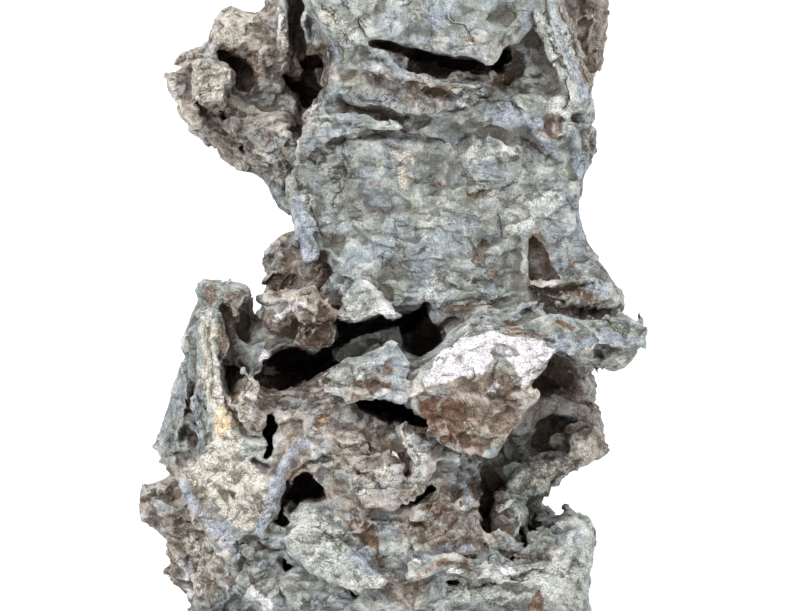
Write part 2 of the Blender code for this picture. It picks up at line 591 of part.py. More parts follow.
def add_tower(body):
    """The ribbed tower at the left, the block beside it and the blade between them."""
    plate(body, TOWER, front=-16, back=34, rim=5, slope=(-0.25, 0.1), shrink=0.1, drift=(4, 0))
    plate(body, TOWER_RIB, front=-30, back=0, rim=2, slope=(-0.2, 0.15))
    plate(body, TOWER_CAP, front=-16, back=8, rim=2.5)
    plate(body, SHARD, front=-32, back=-10, rim=1.5)
    plate(body, BLOCK, front=-21, back=10, rim=2, slope=(-0.2, 0.15))
    plate(body, BLOCK_CUBE, front=-27, back=10, rim=1.2, slope=(0.2, -0.15))
    plate(body, BLOCK_FOOT, front=-22, back=0, rim=2.5)
    plate(body, BLOCK_BACK, front=5, back=36, rim=4)


def add_foot(body):
    """The lower right: a wall behind the slab, a rugged shelf, a web over a hollow and the foot."""
    plate(body, WALL, front=18, back=52, rim=5, shrink=0.08)
    plate(body, SHELF, front=-10, back=26, rim=3.5, slope=(0.2, 0.1), shrink=0.08)
    plate(body, WEB, front=-22, back=-6, rim=2)
    plate(body, FOOT, front=-28, back=44, rim=6, slope=(0.12, 0.0), shrink=0.08)
    plate(body, LOW_REAR, front=32, back=70, rim=6, slope=(-0.1, 0.0), shrink=0.12, drift=(5, 0))


def add_back_and_sides(body):
    """Plates, ledges and lumps that finish the stone where it faces away, and its top."""
    plate(body, BACK_PILLAR, front=-20, back=30, rim=9, turn=180)
    plate(body, BACK_BELLY, front=-32, back=30, rim=11, slope=(0.0, 0.15), turn=180)
    plate(body, BACK_LEDGE, front=-35, back=0, rim=2.5, slope=(0.1, 0.35), turn=176)
    plate(body, BACK_SHELF, front=-44, back=0, rim=2.5, slope=(-0.1, 0.4), turn=182)
    plate(body, BACK_PLATE, front=-31, back=0, rim=2.5, slope=(-0.2, 0.1), turn=190)
    plate(body, BACK_BLADE, front=-46, back=-10, rim=2.5, slope=(0.2, 0.1), turn=172)
    plate(body, SIDE_LEDGE, front=-34, back=-10, rim=2.5, slope=(0.1, 0.25), turn=92)
    plate(body, SIDE_PLATE, front=-38, back=-10, rim=2.5, slope=(0.1, 0.1), turn=96)
    plate(body, SIDE_KNEE, front=-36, back=-10, rim=5, slope=(0.0, 0.15), turn=84)
    plate(body, LEFT_KNEE, front=-42, back=-5, rim=6, slope=(0.0, 0.2), turn=262)
    for middle, radii in BACK_LUMPS + FOOT_LUMPS:
        boulder(body, middle, radii)


def add_hollows(cutter):
    """Cracks, caves and pits; each starts in front of the surface and narrows to its floor."""
    plate(cutter, CROWN_CRACK, front=-60, back=2, rim=2, shrink=0.25, drift=(0, 4))
    plate(cutter, UNDER_PILLAR, front=-60, back=34, rim=3, shrink=0.1, drift=(-2, 2))
    plate(cutter, UNDER_BLOCK, front=-60, back=26, rim=3, shrink=0.1, drift=(2, 4))
    plate(cutter, TOWER_CLEFT, front=-60, back=2, rim=1.5, shrink=0.2)
    plate(cutter, TOWER_HOLE, front=-60, back=-4, rim=1.2, shrink=0.1)
    plate(cutter, EYE, front=-80, back=2, rim=2, shrink=0.15, drift=(0, 3))
    plate(cutter, CAVE_LEFT, front=-80, back=-6, rim=2, shrink=0.1, drift=(2, 3))
    plate(cutter, CAVE_MID, front=-80, back=-16, rim=1.5, shrink=0.25)
    plate(cutter, CAVE_BROWN, front=-80, back=-4, rim=2, shrink=0.2)
    plate(cutter, CAVE_RIGHT, front=-80, back=6, rim=1.5, shrink=0.15)
    plate(cutter, PIT_RIGHT, front=-80, back=-12, rim=1.2, shrink=0.2)
    plate(cutter, PIT_LEFT, front=-80, back=-22, rim=1.5, shrink=0.2)
    plate(cutter, SLIT_LEFT, front=-80, back=-16, rim=1, shrink=0.1)
    plate(cutter, LOBE_CAVE, front=0, back=60, rim=2, shrink=0.2)
    plate(cutter, LOBE_POCKET, front=0, back=60, rim=2, shrink=0.2)
    plate(cutter, LOBE_WINDOW, front=0, back=100, rim=1, shrink=-0.2)
    plate(cutter, DENT_UPPER, front=-60, back=-16, rim=1.5, shrink=0.3)
    plate(cutter, DENT_LOWER, front=-60, back=-8, rim=1.5, shrink=0.3)
    for middle, radii in BACK_HOLLOWS + SIDE_HOLLOWS + FOOT_ARCHES:
        boulder(cutter, middle, radii)


# ---------------------------------------------------------------- making the stone


def make_object(name, body):
    """Link a closed body into the scene as an object."""
    mesh = bpy.data.meshes.new(name)
    bmesh.ops.recalc_face_normals(body, faces=body.faces[:])
    body.to_mesh(mesh)
    item = bpy.data.objects.new(name, mesh)
    bpy.context.scene.collection.objects.link(item)
    return item


def bake_modifiers(item):
    """Replace an object's mesh by its evaluated one, and drop its modifiers."""
    graph = bpy.context.evaluated_depsgraph_get()
    baked = bpy.data.meshes.new_from_object(item.evaluated_get(graph))
    item.modifiers.clear()
    item.data = baked


def fuse(item, voxel):
    """Turn overlapping bodies into one skin."""
    remesh = item.modifiers.new("fuse", "REMESH")
    remesh.mode = "VOXEL"
    remesh.voxel_size = voxel * MM
    bake_modifiers(item)


def cut(item, cutter):
    """Take one closed body out of another."""
    difference = item.modifiers.new("cut", "BOOLEAN")
    difference.operation = "DIFFERENCE"
    difference.solver = "EXACT"
    difference.object = cutter
    bake_modifiers(item)
    bpy.data.objects.remove(cutter, do_unlink=True)


def roughen(item):
    """Push the skin in and out: broad lumps and grain."""
    layers = (("lumps", "CLOUDS", LUMP_SIZE, LUMP_HEIGHT),
              ("grain", "CLOUDS", GRAIN_SIZE, GRAIN_HEIGHT))
    for name, kind, size, height in layers:
        texture = bpy.data.textures.new(name, kind)
        texture.noise_scale = size * MM
        push = item.modifiers.new(name, "DISPLACE")
        push.texture = texture
        push.texture_coords = "LOCAL"
        push.strength = height * MM
        push.mid_level = 0.5
    bake_modifiers(item)


def keep_largest(item):
    """Drop every loose crumb and sealed bubble, so that one closed skin is left."""
    body = bmesh.new()
    body.from_mesh(item.data)
    body.faces.ensure_lookup_table()
    unseen = set(body.faces)
    shells = []
    while unseen:
        stack = [unseen.pop()]
        shell = []
        while stack:
            face = stack.pop()
            shell.append(face)
            for edge in face.edges:
                for other in edge.link_faces:
                    if other in unseen:
                        unseen.remove(other)
                        stack.append(other)
        shells.append(shell)
    shells.sort(key=len)
    crumbs = [face for shell in shells[:-1] for face in shell]
    bmesh.ops.delete(body, geom=crumbs, context="FACES")
    body.to_mesh(item.data)
    body.free()


def coarsen(item, triangles):
    """Collapse the skin to a set number of triangles, keeping its sharpest forms."""
    body = bmesh.new()
    body.from_mesh(item.data)
    bmesh.ops.triangulate(body, faces=body.faces[:])
    body.to_mesh(item.data)
    body.free()
    spare = item.vertex_groups.new(name="spare")
    for vert in item.data.vertices:
        front = min(max((FRONT_DEPTH - vert.co.y / MM) / FRONT_FADE, 0.0), 1.0)
        spare.add([vert.index], 1.0 - FRONT_SHARE * front, "REPLACE")
    reduce = item.modifiers.new("coarsen", "DECIMATE")
    reduce.ratio = triangles / len(item.data.polygons)
    reduce.vertex_group = "spare"
    reduce.vertex_group_factor = FRONT_WEIGHT
    bake_modifiers(item)


def stand_up(item):
    """Lean the stone back, cut it flat where it rests, and centre its foot on the origin."""
    lean = Matrix.Rotation(-math.radians(FACE_LEAN_DEG), 4, "X")
    item.data.transform(lean)
    ground = bmesh.new()
    size = GROUND_BLOCK * MM
    bmesh.ops.create_cube(ground, size=size, matrix=Matrix.Translation((0.0, 0.0, -size / 2.0)))
    cut(item, make_object("ground", ground))
    ground.free()
    corners = np.array([vert.co for vert in item.data.vertices])
    low = corners.min(axis=0)
    high = corners.max(axis=0)
    middle = (low + high) / 2.0
    item.data.transform(Matrix.Translation((-middle[0], -middle[1], -low[2])))
    return Vector((-middle[0], -middle[1], -low[2]))


def tidy(item):
    """Close up what the flat cut leaves, and finish the skin as triangles that face out."""
    body = bmesh.new()
    body.from_mesh(item.data)
    bmesh.ops.remove_doubles(body, verts=body.verts[:], dist=MERGE_DISTANCE * MM)
    bmesh.ops.dissolve_degenerate(body, edges=body.edges[:], dist=MERGE_DISTANCE * MM)
    bmesh.ops.triangulate(body, faces=body.faces[:])
    bmesh.ops.recalc_face_normals(body, faces=body.faces[:])
    body.to_mesh(item.data)
    body.free()


def stone_finish():
    """Matt grey-green stone."""
    finish = bpy.data.materials.new("stone")
    finish.use_nodes = True
    shader = finish.node_tree.nodes["Principled BSDF"]
    shader.inputs["Base Color"].default_value = STONE_COLOR
    shader.inputs["Roughness"].default_value = STONE_ROUGHNESS
    shader.inputs["Metallic"].default_value = 0.0
    finish.diffuse_color = STONE_COLOR
    return finish


def build_rock():
    """Make the rock, and return it and how far centring moved it."""
    body = bmesh.new()
    add_pillar(body)
    add_crown(body)
    add_rear_lobe(body)
    add_beak(body)
    add_belly(body)
    add_tower(body)
    add_foot(body)
    add_back_and_sides(body)
    rock = make_object("rock", body)
    fuse(rock, FUSE_VOXEL)
    tree = BVHTree.FromObject(rock, bpy.context.evaluated_depsgraph_get())
    ridges = bmesh.new()
    ridges.from_mesh(rock.data)
    skin = bmesh.new()
    skin.from_mesh(rock.data)
    add_flakes(ridges, skin)
    for radius, depth, line in RIDGES:
        tube(ridges, lay_on_face(tree, seen(depth, line), -RIDGE_SINK), radius * MM)
    ridges.to_mesh(rock.data)
    fuse(rock, FUSE_VOXEL)
    cutter = bmesh.new()
    add_hollows(cutter)
    add_dents(cutter, skin)
    for radius, depth, line in GROOVES:
        tube(cutter, lay_on_face(tree, seen(depth, line), -GROOVE_SINK), radius * MM)
    hollows = make_object("hollows", cutter)
    fuse(hollows, CUTTER_VOXEL)
    roughen(hollows)
    fuse(hollows, CUTTER_VOXEL)
    cut(rock, hollows)
    fuse(rock, SKIN_VOXEL)
    keep_largest(rock)
    roughen(rock)
    coarsen(rock, TRIANGLES)
    moved = stand_up(rock)
    keep_largest(rock)
    tidy(rock)
    rock.data.name = "rock"
    rock.data.materials.clear()
    rock.data.materials.append(stone_finish())
    for scrap in (body, ridges, cutter, skin):
        scrap.free()
    return rock, moved


clear_scene()
ROCK, MOVED = build_rock()
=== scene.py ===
"""Aquascape rock: the finished stone, its plain stage and its camera.

The stone is worked in the frame of its broad face, where a point is (across, depth, up) in metres and
a smaller depth is nearer the front.  Outlines, cracks, ribs and patches are drawn on a grid of columns
and rows, as the face is seen from straight in front, and the script turns them into metres.
"""
import math

import bmesh
import bpy
import numpy as np
from mathutils import Matrix, Vector
from mathutils.bvhtree import BVHTree


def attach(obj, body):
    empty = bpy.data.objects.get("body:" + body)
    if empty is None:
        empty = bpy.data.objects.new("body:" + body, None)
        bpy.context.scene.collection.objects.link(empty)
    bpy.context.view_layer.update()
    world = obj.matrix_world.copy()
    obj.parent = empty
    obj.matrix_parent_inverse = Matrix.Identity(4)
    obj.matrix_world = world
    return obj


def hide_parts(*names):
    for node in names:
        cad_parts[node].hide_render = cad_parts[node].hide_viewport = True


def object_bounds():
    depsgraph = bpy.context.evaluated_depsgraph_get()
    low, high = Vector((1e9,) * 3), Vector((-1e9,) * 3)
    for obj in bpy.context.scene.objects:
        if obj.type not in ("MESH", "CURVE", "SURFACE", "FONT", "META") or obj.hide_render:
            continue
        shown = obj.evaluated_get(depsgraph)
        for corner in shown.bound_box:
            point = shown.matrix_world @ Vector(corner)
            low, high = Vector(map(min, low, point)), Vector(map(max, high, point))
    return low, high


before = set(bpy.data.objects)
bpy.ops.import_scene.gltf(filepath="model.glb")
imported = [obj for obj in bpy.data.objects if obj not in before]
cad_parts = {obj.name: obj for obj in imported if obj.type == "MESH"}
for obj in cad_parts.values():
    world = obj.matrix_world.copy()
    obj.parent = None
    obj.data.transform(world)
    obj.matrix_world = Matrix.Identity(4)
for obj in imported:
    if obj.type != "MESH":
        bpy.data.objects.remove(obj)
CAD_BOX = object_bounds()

bl_info = {
    "name": "Aquascape rock",
    "version": (1, 0, 0),
    "blender": (4, 5, 0),
    "location": "3D View > Sidebar > Stone",
    "description": "Carves and paints a weathered, cavernous aquascape stone",
    "category": "Object",
}

MM = 0.001

# The broad face: how far it leans back, and where its zero point stands in the model's own frame.
FACE_LEAN = math.radians(10.0)
FACE_SHIFT = Vector((3.694, -36.699, 0.0)) * MM
FACE_TO_ROW = Matrix.Translation(FACE_SHIFT) @ Matrix.Rotation(-FACE_LEAN, 4, "X")

# How rough the calm parts of the broad face and the other sides are, from 0 to 1.
FRONT_ROUGHNESS = 0.34
SIDE_ROUGHNESS = 0.55
# How far drawn edges wander, and how far the skin is pushed about: wave size, then grid steps or mm.
WANDER = ((16.0 * MM, 2.4), (5.0 * MM, 1.5), (2.0 * MM, 0.7))
PUSHED_ABOUT = ((22.0 * MM, 0.9), (8.0 * MM, 0.8), (3.2 * MM, 0.4))
# How deep in from the front the broad face's own finish reaches, and the span over which it fades.
FACE_REACH = 30.0 * MM
FACE_FADE = 14.0 * MM
# How strongly the broad face keeps its triangles when the skin is thinned out, in metres, the grid rows
# that this holds for, and how readily triangles go: in sight, hidden near the front, and elsewhere.
FRONT_FAVOUR = 1e-5
FAVOURED_ROWS = (-12.0, 625.0)
SPARED = (0.05, 0.8, 1.0)
# Rounds of smoothing once the masses are fused, a flake's width as a share of its length, and its tilt.
SOFTENING_ROUNDS = 6
FLAKE_WIDTH_SHARE = 0.6
FLAKE_TILT = 0.3
# How far a stroke reaches to its sides, in half widths, and how far in front of and behind its line.
FAR_OVER = 5.0
STROKE_DEPTH_REACH = 6.0 * MM

# The drawing grid, as it is seen from the eye: one step is this long on the face plane.
GRID_STEP = 0.3 * MM
SIGHT_DISTANCE = 1500.0 * MM
EYE_COLUMN = 400.0
EYE_ROW = 305.5
GROUND_ROW = 700.0
GRID_COLUMNS = 800
EYE_HEIGHT = (GROUND_ROW - EYE_ROW) * GRID_STEP
EYE = Vector((0.0, -SIGHT_DISTANCE, EYE_HEIGHT))


def seen(depth, points):
    """(across, up) in metres of grid points (column, row) that lie at a depth in millimetres."""
    step = GRID_STEP * (1.0 + depth * MM / SIGHT_DISTANCE)
    return [((column - EYE_COLUMN) * step, EYE_HEIGHT + (EYE_ROW - row) * step) for column, row in points]


# ------------------------------------------------------------------ forms: plates set on the stone
# Each is (front, back, slope across, slope up, outline): depths in mm, and the outline on the grid.

PLATES = {
    "brow patch": (-20, -5, 0.0, 0.0, [
        (470, 122), (492, 120), (514, 128), (516, 146), (492, 152), (472, 148)]),
    "fold patch": (-24, -8, 0.0, 0.0, [
        (534, 108), (560, 104), (570, 120), (570, 138), (556, 150), (540, 140)]),
    "triangle floor": (-20, 0, 0.0, 0.0, [
        (520, 226), (540, 224), (554, 248), (560, 286), (524, 290)]),
    "pale slab": (-41, -30, 0.05, -0.10, [
        (446, 347), (462, 338), (481, 333), (495, 329), (506, 334), (526, 339), (542, 342), (558, 350),
        (549, 359), (539, 369), (527, 381), (520, 388), (528, 391), (539, 395), (534, 404), (529, 408),
        (525, 415), (520, 424), (511, 431), (503, 440), (497, 450), (495, 458), (484, 457), (474, 452),
        (464, 462), (455, 452), (440, 446), (428, 436), (418, 424), (413, 408), (416, 388), (424, 372),
        (434, 357)]),
    "hanging tongue": (-27, -12, 0.0, 0.05, [
        (342, 290), (352, 284), (361, 277), (368, 280), (376, 289), (384, 296), (392, 304), (396, 314),
        (384, 316), (376, 315), (368, 321), (356, 324), (345, 323), (341, 312)]),
    "left flange": (-22, -6, -0.25, 0.0, [
        (285, 178), (292, 172), (303, 186), (310, 200), (316, 228), (318, 250), (316, 262), (302, 263),
        (299, 246), (297, 228), (292, 210)]),
    "lip": (-31, -12, 0.0, 0.25, [
        (333, 62), (346, 59), (360, 61), (374, 55), (388, 57), (397, 66), (410, 72), (427, 76),
        (442, 82), (462, 82), (480, 83), (490, 88), (470, 91), (450, 92), (430, 88), (408, 83),
        (396, 80), (382, 74), (366, 70), (348, 70), (334, 74)]),
    "ledge below the lip": (-27, -10, 0.1, 0.3, [
        (334, 78), (352, 76), (372, 84), (390, 93), (398, 95), (420, 104), (440, 112), (470, 112),
        (466, 120), (430, 118), (396, 110), (370, 100), (345, 94), (328, 97)]),
    "cheek": (-25, -8, -0.1, 0.15, [
        (305, 122), (318, 114), (345, 112), (376, 116), (402, 126), (402, 130), (380, 129), (362, 131),
        (350, 135), (340, 134), (330, 138), (318, 146), (305, 158), (300, 150)]),
    "beak band": (-32, -10, 0.2, 0.0, [
        (500, 330), (526, 322), (552, 312), (576, 318), (596, 320), (620, 317), (638, 323), (646, 333),
        (647, 343), (639, 350), (622, 348), (606, 343), (594, 342), (590, 352), (578, 355), (560, 350),
        (540, 344), (520, 338)]),
    "beak brow": (-24, 0, 0.2, 0.2, [
        (530, 279), (548, 276), (570, 278), (596, 277), (604, 282), (612, 280), (618, 288), (621, 304),
        (612, 309), (598, 306), (584, 303), (570, 300), (556, 296), (544, 291), (532, 287)]),
    "cube": (-29, 0, 0.18, -0.1, [
        (302, 302), (318, 303), (330, 308), (336, 322), (335, 334), (332, 344), (320, 348), (308, 347),
        (302, 338), (299, 326), (296, 314)]),
    "cube side": (-27, 0, -0.35, 0.1, [
        (266, 297), (280, 292), (300, 291), (318, 287), (322, 300), (302, 301), (296, 312), (286, 324),
        (280, 332), (268, 330), (262, 320), (266, 310)]),
    "blade": (-35, -12, 0.1, -0.05, [
        (249, 378), (254, 388), (257, 404), (259, 420), (262, 434), (254, 437), (245, 430), (238, 420),
        (233, 412), (237, 398), (243, 388)]),
    "tower crest": (-24, -4, -0.1, 0.1, [
        (201, 290), (206, 282), (214, 281), (221, 284), (226, 281), (244, 284), (251, 291), (247, 298),
        (240, 308), (236, 318), (228, 306), (222, 302), (214, 309), (203, 306)]),
    "tower rib": (-32, -10, -0.2, 0.12, [
        (201, 310), (215, 309), (220, 330), (219, 360), (224, 392), (231, 418), (242, 436), (228, 448),
        (210, 430), (202, 400), (199, 360)]),
    "eyelid": (-39, -20, 0.0, 0.3, [
        (322, 378), (340, 366), (360, 358), (384, 345), (392, 338), (402, 352), (412, 366), (420, 380),
        (414, 398), (404, 400), (392, 398), (374, 396), (356, 397), (340, 392)]),
    "eye band": (-39.5, -20, 0.1, 0.2, [
        (396, 427), (408, 425), (420, 430), (433, 442), (448, 450), (462, 458), (460, 468), (444, 464),
        (430, 462), (426, 476), (420, 488), (412, 498), (404, 500), (412, 480), (410, 460), (402, 442)]),
    "left belly": (-38, -16, -0.15, 0.1, [
        (178, 480), (186, 468), (206, 462), (240, 462), (266, 474), (274, 480), (270, 510), (262, 534),
        (244, 536), (236, 556), (222, 540), (206, 528), (192, 506)]),
    "under belly": (-41, -20, 0.0, 0.15, [
        (284, 540), (300, 520), (318, 514), (336, 530), (352, 552), (372, 568), (392, 582), (380, 590),
        (340, 588), (306, 572), (290, 556)]),
    "front plate": (-39.5, -22, 0.05, 0.1, [
        (352, 455), (376, 450), (398, 462), (406, 480), (404, 500), (390, 508), (366, 506), (350, 492),
        (344, 472)]),
    "low ledge": (-41, -20, 0.05, 0.2, [
        (408, 566), (426, 556), (448, 552), (474, 560), (486, 572), (478, 582), (464, 578), (440, 572),
        (424, 580), (410, 584)]),
    "foot brow": (-35, -10, 0.45, 0.25, [
        (486, 556), (500, 566), (522, 570), (546, 560), (560, 548), (566, 536), (578, 530), (584, 548),
        (566, 568), (548, 578), (520, 584), (494, 582), (482, 570)]),
    "rugged shelf": (-14, 10, 0.25, 0.1, [
        (516, 472), (530, 465), (548, 461), (566, 458), (560, 470), (552, 480), (542, 490), (530, 496),
        (518, 498), (508, 504), (500, 514), (492, 510), (500, 494), (508, 482)]),
    "rear lump": (2, 34, 0.3, 0.1, [
        (566, 432), (578, 424), (592, 426), (602, 432), (600, 446), (592, 460), (582, 467), (570, 462),
        (562, 452)]),
    "arched shelf": (8, 34, 0.1, 0.3, [
        (538, 398), (556, 396), (576, 402), (592, 412), (602, 426), (598, 434), (586, 424), (570, 417),
        (552, 415), (538, 418)]),
    "web": (-24, -8, 0.1, 0.0, [
        (500, 508), (512, 504), (526, 506), (528, 516), (520, 524), (514, 536), (512, 550), (500, 552),
        (490, 542), (496, 530), (492, 518)]),
    "lobe block": (26, 48, -0.1, 0.1, [
        (196, 60), (214, 60), (226, 66), (233, 74), (232, 85), (222, 88), (226, 100), (208, 104),
        (192, 98), (189, 82)]),
    "lobe rib": (24, 46, 0.0, 0.0, [
        (279, -40), (288, -40), (288, 46), (283, 51), (278, 46)]),
    "lobe spur": (34, 56, 0.0, 0.0, [
        (166, 74), (177, 73), (190, 76), (188, 88), (192, 106), (204, 126), (196, 128), (180, 106),
        (168, 86)]),
    "spine top": (12, 40, 0.1, 0.0, [
        (572, -40), (598, -36), (606, 0), (608, 26), (598, 34), (599, 72), (588, 72), (584, 54),
        (576, 38)]),
}

# Pieces that stand inside the hollows.
INNER_PLATES = {
    "rear wedge": (-8, 26, 0.2, -0.2, [
        (332, 351), (342, 347), (352, 340), (366, 334), (384, 330), (398, 326), (404, 344), (390, 350),
        (374, 357), (360, 359), (346, 362), (334, 360)]),
    "eye sill": (-16, 10, 0.1, -0.5, [
        (358, 415), (368, 417), (378, 420), (386, 424), (392, 432), (380, 436), (364, 430)]),
    "cave tooth": (-26, -6, 0.3, 0.0, [
        (290, 500), (296, 506), (292, 516), (284, 526), (280, 520), (285, 510)]),
    "right cave sill": (-4, 14, 0.0, -0.4, [
        (536, 514), (546, 512), (552, 522), (560, 534), (544, 536), (534, 526)]),
    "lobe wall": (46, 60, 0.0, 0.0, [
        (262, 62), (272, 74), (282, 88), (296, 102), (304, 114), (296, 118), (280, 104), (266, 88),
        (258, 74)]),
    "lobe knob": (40, 60, 0.0, 0.0, [
        (313, 68), (322, 68), (331, 74), (331, 82), (318, 80)]),
}

# ------------------------------------------------------------------ hollows: cut out of the stone
# Each is (floor, shrink, drift across, drift up, outline): floor depth and drifts in mm.

HOLLOWS = {
    "crack below the crown": (-15, 0.15, 0, 2, [
        (352, 45), (366, 44), (380, 43), (396, 49), (412, 54), (430, 58), (448, 60), (464, 65), (478, 68),
        (492, 70), (500, 66), (506, 74), (502, 84), (486, 84), (468, 82), (448, 82), (436, 80),
        (424, 75), (412, 71), (400, 64), (386, 56), (370, 50)]),
    "hook of the crack": (-17, 0.1, 0, 0, [
        (512, 42), (517, 48), (524, 50), (525, 60), (531, 66), (523, 72), (524, 80), (514, 82),
        (510, 89), (500, 87), (501, 78), (508, 71), (506, 62), (512, 56)]),
    "bay below the pillar": (2, 0.1, -2, 2, [
        (333, 324), (338, 318), (345, 324), (360, 324), (374, 319), (384, 316), (398, 317), (412, 319),
        (424, 314), (430, 306), (438, 303), (440, 314), (438, 322), (430, 334), (420, 342), (410, 346),
        (404, 344), (396, 338), (388, 337), (381, 346), (374, 354), (360, 360), (344, 366), (330, 376),
        (322, 370), (316, 358), (322, 350), (334, 346), (337, 334)]),
    "bay below the block": (-17, 0.1, 2, 3, [
        (252, 370), (262, 366), (276, 358), (286, 352), (304, 352), (318, 352), (330, 362), (338, 366),
        (326, 378), (314, 384), (296, 388), (280, 392), (268, 386), (258, 392), (254, 380)]),
    "tower cleft": (-10, 0.2, 0, 0, [
        (224, 364), (234, 363), (243, 367), (244, 378), (238, 386), (233, 398), (229, 400), (225, 388)]),
    "tower hole": (-12, 0.1, 0, 0, [
        (240, 312), (247, 306), (250, 316), (252, 330), (254, 338), (247, 346), (240, 340), (236, 333),
        (239, 322)]),
    "eye": (-17, 0.15, 0, 3, [
        (348, 411), (350, 404), (356, 400), (368, 401), (380, 399), (394, 401), (404, 404), (414, 413),
        (424, 424), (434, 436), (440, 443), (430, 440), (420, 434), (408, 427), (398, 427), (388, 432),
        (378, 428), (368, 421), (358, 418)]),
    "left cave": (-19, 0.1, 2, 3, [
        (290, 487), (293, 480), (300, 477), (306, 481), (313, 488), (320, 494), (322, 500), (325, 508),
        (316, 511), (308, 512), (300, 506), (293, 500), (290, 494)]),
    "left cave slit": (-18, 0.1, 0, 2, [
        (283, 484), (289, 482), (292, 490), (288, 504), (284, 516), (290, 530), (282, 534), (276, 529),
        (269, 532), (272, 522), (278, 508), (281, 494)]),
    "middle cave": (-14, 0.2, 0, 0, [
        (424, 480), (432, 482), (440, 488), (434, 494), (426, 494), (422, 504), (414, 511), (409, 507),
        (416, 500), (422, 490)]),
    "brown cave": (-16, 0.1, 2, 2, [
        (471, 478), (480, 474), (494, 474), (508, 476), (506, 490), (498, 502), (490, 512), (482, 512),
        (476, 500)]),
    "slit below the brown cave": (-4, 0.1, 0, 0, [
        (482, 508), (490, 510), (491, 522), (490, 534), (485, 538), (481, 530)]),
    "right cave": (-4, 0.1, 0, 0, [
        (527, 502), (536, 498), (545, 499), (548, 507), (556, 514), (558, 526), (552, 533), (540, 531),
        (530, 524), (529, 512)]),
    "right pit": (-10, 0.2, 0, 0, [
        (515, 530), (522, 526), (528, 533), (532, 546), (526, 552), (518, 546), (514, 538)]),
    "left pit": (-24, 0.2, 0, 0, [
        (277, 558), (283, 556), (290, 561), (296, 568), (306, 577), (298, 578), (288, 572), (280, 575),
        (281, 566)]),
    "left slit": (-14, 0.1, 0, 0, [
        (268, 408), (275, 412), (278, 426), (275, 442), (272, 456), (266, 464), (261, 459), (264, 444),
        (262, 432), (265, 420)]),
    "recess right of the flange": (2, 0.2, 0, 0, [
        (302, 264), (316, 263), (318, 256), (326, 256), (334, 262), (334, 274), (328, 284), (320, 296),
        (314, 288), (306, 282)]),
    "triangle by the beak": (-17, 0.1, 0, 0, [
        (526, 229), (532, 231), (541, 240), (549, 256), (556, 275), (558, 285), (544, 287), (530, 284),
        (527, 262)]),
    "recess of the right side": (-19, 0.2, 0, 0, [
        (557, 135), (563, 133), (566, 140), (566, 147), (561, 148), (557, 142)]),
    "knuckle notch": (-17, 0.1, 0, 0, [
        (569, 116), (576, 113), (596, 112), (594, 119), (582, 120), (577, 125), (572, 122)]),
    "above the tower": (60, 0, 0, 0, [
        (186, 258), (262, 258), (262, 286), (252, 285), (240, 282), (228, 281), (224, 292), (221, 282),
        (206, 280), (199, 284), (186, 290)]),
    "above the foot": (60, 0, 0, 0, [
        (556, 500), (562, 508), (575, 511), (592, 513), (604, 519), (614, 505), (604, 490), (570, 490)]),
    "spine hole": (30, 0.2, 0, 0, [(586, 60), (591, 61), (591, 71), (586, 68)]),
    "slot under the cheek": (-10, 0.2, 0, 0, [
        (336, 133), (341, 136), (350, 137), (360, 134), (367, 134), (360, 139), (350, 142), (341, 141)]),
    "lobe cave": (53, 0.2, 0, 0, [
        (212, 43), (222, 45), (232, 52), (246, 53), (254, 62), (258, 80), (258, 94), (250, 101),
        (240, 96), (233, 86), (236, 76), (229, 66), (216, 60), (212, 52)]),
    "lobe pocket": (54, 0.2, 0, 0, [
        (272, 70), (284, 72), (290, 82), (300, 82), (304, 70), (300, 58), (306, 50), (322, 47),
        (331, 60), (329, 84), (322, 98), (310, 112), (300, 112), (292, 98), (280, 86)]),
    "lobe crescent": (54, 0.2, 0, 0, [
        (214, 108), (222, 106), (230, 112), (235, 124), (230, 130), (224, 120)]),
    "lobe slit": (54, 0.2, 0, 0, [(236, 142), (242, 140), (248, 156), (248, 166), (242, 158)]),
    "arch": (2, 0.15, 0, 0, [
        (528, 420), (540, 416), (556, 416), (572, 420), (580, 428), (568, 428), (554, 432), (546, 442),
        (532, 454), (514, 464), (500, 466), (494, 462), (503, 448), (512, 434)]),
    "low crack": (-22, 0.3, 0, 0, [(440, 577), (452, 580), (466, 579), (460, 585), (448, 585)]),
    "pit above the foot": (-20, 0.3, 0, 0, [(504, 558), (514, 555), (526, 557), (524, 564), (510, 562)]),
}

# ------------------------------------------------------------------ strokes: cracks and ribs
# Each is (half width, push, points): sizes in mm, the points on the grid.  A crack is pushed in.

